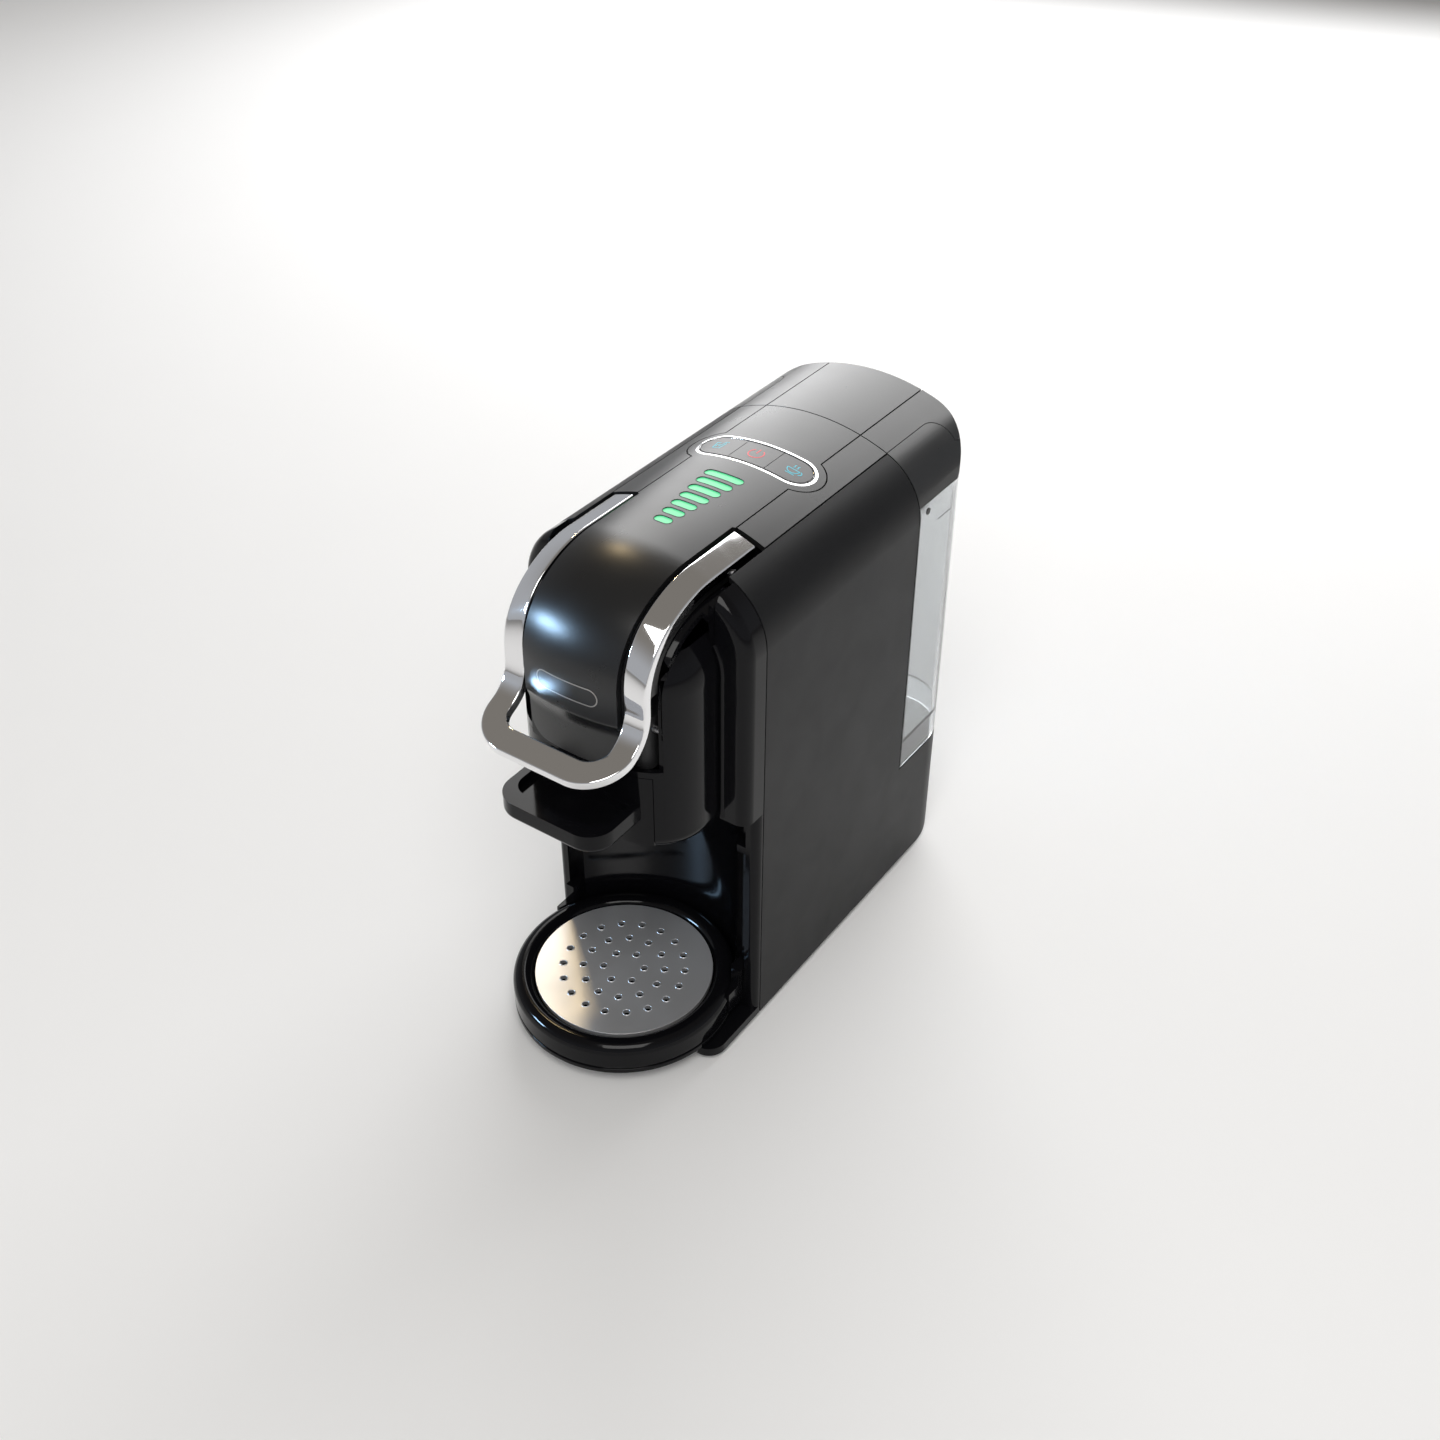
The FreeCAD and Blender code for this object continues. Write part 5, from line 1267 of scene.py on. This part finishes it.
@dataclass
class BrewHead:
    """Head shell, drawer, cup and injector, in millimetres."""

    half: float = 44.55
    corner_y: float = -71.0
    corner_r: float = 26.05
    rear_y: float = -59.5
    dome_r: float = 24.0
    spring_z: float = 204.0
    foot_z: float = 139.0
    dome_turn: float = 46.0
    inner_x: float = 36.4
    wall: float = 2.0
    room_gap: float = 0.2
    room_width: float = 20.0
    room_y: Flat = (-140.0, -62.2)
    room_top_z: float = 260.0
    upright_count: int = 12
    dome_count: int = 24
    flank_count: int = 6
    corner_count: int = 32

    def dome_rows(self, inset: float) -> list[list[Vector]]:
        """Grid of the right cheek, which rolls over into a dome beside the handle.

        Args:
            inset: Depth under the outer surface.

        Returns:
            Rows from the foot to the top, each from the rear to the front.
        """
        middle = self.half - self.corner_r
        count = self.upright_count
        levels = [(self.foot_z + (self.spring_z - self.foot_z) * k / count, 0.0) for k in range(count)]
        count = self.dome_count
        levels += [(self.spring_z, math.radians(self.dome_turn) * k / count) for k in range(count + 1)]
        rows = []
        for base, turn in levels:
            drawn = self.dome_r - (self.dome_r - inset) * math.cos(turn)
            z = base + (self.dome_r - inset) * math.sin(turn)
            radius = self.corner_r - drawn
            stop = math.acos(min(0.99, (self.inner_x - middle) / radius))
            row = []
            for k in range(self.flank_count):
                y = self.rear_y + (self.corner_y - self.rear_y) * k / self.flank_count
                row.append((middle + radius, y))
            for k in range(self.corner_count + 1):
                sweep = stop * k / self.corner_count
                y = self.corner_y - radius * math.sin(sweep)
                row.append((middle + radius * math.cos(sweep), y))
            rows.append([Vector((x, y, z)) * MM for x, y in row])
        return rows

    def cheeks(self) -> None:
        """Dress the shell with smooth domed cheeks in place of the bare channel walls."""
        shell = merged_copy("brew_head_shell", "brew_head_shell_skin")
        x0 = self.inner_x + self.room_gap
        x1 = x0 + self.room_width
        y0, y1 = self.room_y
        for side in (-1, 1):
            outline = [(side * x, y) for x, y in ((x0, y0), (x1, y0), (x1, y1), (x0, y1))]
            cut_away(shell, prism("cheek_room", outline, self.foot_z + 1, self.room_top_z))
            rows = [[[Vector((side * p.x, p.y, p.z)) for p in row] for row in self.dome_rows(inset)]
                    for inset in (0.0, self.wall)]
            cheek = strip_solid("right_cheek" if side > 0 else "left_cheek", rows[0], rows[1])
            soften(cheek, 0.3, 50.0)
            put(cheek, Finishes.gloss_black, "housing")
        soften(shell, 0.4)
        put(shell, Finishes.gloss_black, "housing", ["brew_head_shell"])

    def build(self) -> None:
        """Dress the head and what it carries."""
        self.cheeks()
        dress("capsule_drawer", Finishes.gloss_black, 0.6)
        dress("spout", Finishes.gloss_black, 0.4)
        dress("capsule_cup", Finishes.inner_plastic, 0.3)
        dress("guide_pin", Finishes.steel, 0.3)
        dress("injector_carriage", Finishes.inner_plastic, 0.4)
        coat("injector_plate", Finishes.steel)
        coat("injector_seal", Finishes.rubber)


@dataclass
class DripTray:
    """Bowl, ring, hooks and grate, in millimetres."""

    centre_y: float = -77.3
    plate_z: float = 23.2
    hole_pitch: float = 9.7
    hole_r: float = 1.8
    hole_lip: float = 0.28
    hole_counts: tuple[int, ...] = (6, 12, 18)

    def hole_lips(self) -> None:
        """Pressed lips round the drain holes, on circles of even pitch."""
        points = []
        for ring, count in enumerate(self.hole_counts, 1):
            for k in range(count):
                turn = 2 * math.pi * k / count
                reach = ring * self.hole_pitch
                spot = (reach * math.sin(turn), self.centre_y + reach * math.cos(turn), self.plate_z)
                points.append([Vector(spot) * MM])
        lips = LIPS.make("drain_hole_lips", points, self.hole_lip, self.hole_r, Finishes.tray_chrome)
        put(lips, Finishes.tray_chrome, "grate")

    def build(self) -> None:
        """Dress the tray."""
        self.hole_lips()
        for node in ("tray_bowl", "tray_ring", "tray_hooks"):
            dress(node, Finishes.gloss_black, 0.4)
        dress("drip_grate", Finishes.tray_chrome, 0.3)


@dataclass
class WaterTank:
    """Clear tank with its collar, lid, valve and dock, in millimetres."""

    wall_x: float = 58.5
    vent_y: float = 82.3
    vent_z: float = 215.4
    vent_r: float = 1.7
    vent_reach: Flat = (-0.6, 0.15)
    mark_y: Flat = (92.5, 104.0)
    mark_z: float = 206.5
    mark_line: float = 0.25

    def marks(self) -> None:
        """Dark vent plug and the plain fill line on the right wall."""
        start, stop = (Vector((self.wall_x, y, self.mark_z)) * MM for y in self.mark_y)
        level = BEADS.make("fill_line", [[start, stop]], self.mark_line, 0.0, Finishes.print_grey)
        put(level, Finishes.print_grey, "tank")
        middle = Vector((self.wall_x, self.vent_y, self.vent_z)) * MM
        rim = [middle + Vector((x, 0, 0)) * MM for x in self.vent_reach]
        plug = BEADS.make("vent_plug", [rim], self.vent_r, 0.0, Finishes.black_and_painted_shade)
        put(plug, Finishes.black_and_painted_shade, "tank")

    def build(self) -> None:
        """Dress the tank."""
        self.marks()
        dress("water_tank", Finishes.clear_plastic, 0.4)
        dress("tank_collar", Finishes.satin_black, 0.4)
        dress("tank_lid", Finishes.satin_black, 0.35)
        dress("tank_valve", Finishes.inner_plastic, 0.3)
        coat("tank_dock", Finishes.inner_plastic)
        coat("dock_seal", Finishes.rubber)


class InnerWorks:
    """Chassis, pump, heater, boards and hoses inside the body."""

    finishes = {
        "chassis": Finishes.inner_plastic,
        "pump": Finishes.pump_body,
        "pump_mounts": Finishes.rubber,
        "thermoblock": Finishes.heater_metal,
        "thermal_fuse": Finishes.tube_white,
        "flow_meter": Finishes.tube_white,
        "main_board": Finishes.circuit_board,
        "suction_hoses": Finishes.rubber,
        "pressure_tube": Finishes.tube_white,
        "brew_tube": Finishes.tube_white,
    }

    def build(self) -> None:
        """Give each inner solid its material."""
        for node, finish in self.finishes.items():
            coat(node, finish)


@dataclass(frozen=True)
class Lamp:
    """Soft lamp: its place, two sides, watts and colour, and whether only gloss and metal show it."""

    name: str
    place: Point
    size: Flat
    power: float
    colour: Colour
    glint: bool = False


LAMPS = (
    Lamp("rear_softbox", (-0.44, 1.43, 0.88), (1.75, 1.3), 30.0, (1.0, 1.0, 1.0)),
    Lamp("key_softbox", (0.6, -0.9, 1.5), (0.95, 0.95), 16.0, (1.0, 0.99, 0.97)),
    Lamp("blue_window", (-0.927, -0.909, 0.50), (0.30, 0.20), 18.0, (0.45, 0.70, 1.0), True),
    Lamp("warm_lamp", (-0.60, 0.435, 1.025), (0.08, 0.08), 1.1, (1.0, 0.75, 0.4), True),
)


@dataclass
class Studio:
    """Floor, lamps, surroundings and camera, in metres and degrees."""

    target: Point = (-0.0006, 0.0028, 0.1205)
    azimuth: float = 35.09
    elevation: float = 37.6
    distance: float = 0.78531
    lens: float = 41.67
    floor_half: float = 6.0
    horizon: Colour = (0.40, 0.41, 0.43)
    ceiling: Colour = (0.21, 0.195, 0.175)

    def floor(self) -> None:
        """Lay the pale floor."""

        def build(bm: bmesh.types.BMesh) -> None:
            half = self.floor_half
            corners = ((-half, -half), (half, -half), (half, half), (-half, half))
            bm.faces.new([bm.verts.new((x, y, 0.0)) for x, y in corners])

        floor = object_of("floor", build)
        floor.data.materials.append(FINISHES.of(Finishes.floor_white))

    def hang(self, lamp: Lamp) -> None:
        """Hang one lamp so that it looks at the machine.

        Args:
            lamp: The lamp.
        """
        data = bpy.data.lights.new(lamp.name, "AREA")
        data.shape = "RECTANGLE"
        data.size, data.size_y = lamp.size
        data.energy = lamp.power
        data.color = lamp.colour
        hung = bpy.data.objects.new(lamp.name, data)
        hung.location = lamp.place
        hung.visible_diffuse = not lamp.glint
        way = Vector(self.target) - Vector(lamp.place)
        hung.rotation_euler = way.to_track_quat("-Z", "Y").to_euler()
        bpy.context.scene.collection.objects.link(hung)

    def surroundings(self) -> None:
        """Pale horizon under a darker ceiling, which the metal and the gloss show between the lamps."""
        world = bpy.data.worlds.new("studio")
        bpy.context.scene.world = world
        world.use_nodes = True
        back = world.node_tree.nodes["Background"]
        bench = NodeBench(world.node_tree)
        way = bench.add("ShaderNodeSeparateXYZ")
        bench.wire(bench.add("ShaderNodeTexCoord").outputs["Generated"], way.inputs[0])
        rise = bench.add("ShaderNodeMapRange", interpolation_type="SMOOTHSTEP")
        rise.inputs["From Min"].default_value = 0.25
        rise.inputs["From Max"].default_value = 0.8
        bench.wire(way.outputs["Z"], rise.inputs["Value"])
        bench.wire(bench.tint(rise.outputs["Result"], self.horizon, self.ceiling), back.inputs["Color"])

    def camera(self) -> None:
        """Set the camera of the photograph."""
        turn = math.radians(self.azimuth)
        rise = math.radians(self.elevation)
        level = math.cos(rise)
        back = Vector((math.sin(turn) * level, -math.cos(turn) * level, math.sin(rise)))
        data = bpy.data.cameras.new("camera")
        data.lens = self.lens
        data.sensor_width = 36.0
        camera = bpy.data.objects.new("camera", data)
        camera.location = Vector(self.target) + back * self.distance
        camera.rotation_euler = (-back).to_track_quat("-Z", "Y").to_euler()
        bpy.context.scene.collection.objects.link(camera)
        bpy.context.scene.camera = camera

    def build(self) -> None:
        """Set the whole stage."""
        self.floor()
        self.surroundings()
        for lamp in LAMPS:
            self.hang(lamp)
        self.camera()
        bpy.context.scene.view_settings.view_transform = "Standard"


def main() -> None:
    """Build every sub-assembly and the stage."""
    logging.basicConfig(level=logging.INFO, format="%(name)s: %(message)s")
    parts = (Body, BrewHead, FrontCover, ControlPanel, Handle, DripTray, WaterTank, InnerWorks, Studio)
    for part in parts:
        part().build()


if __name__ == "__main__":
    main()
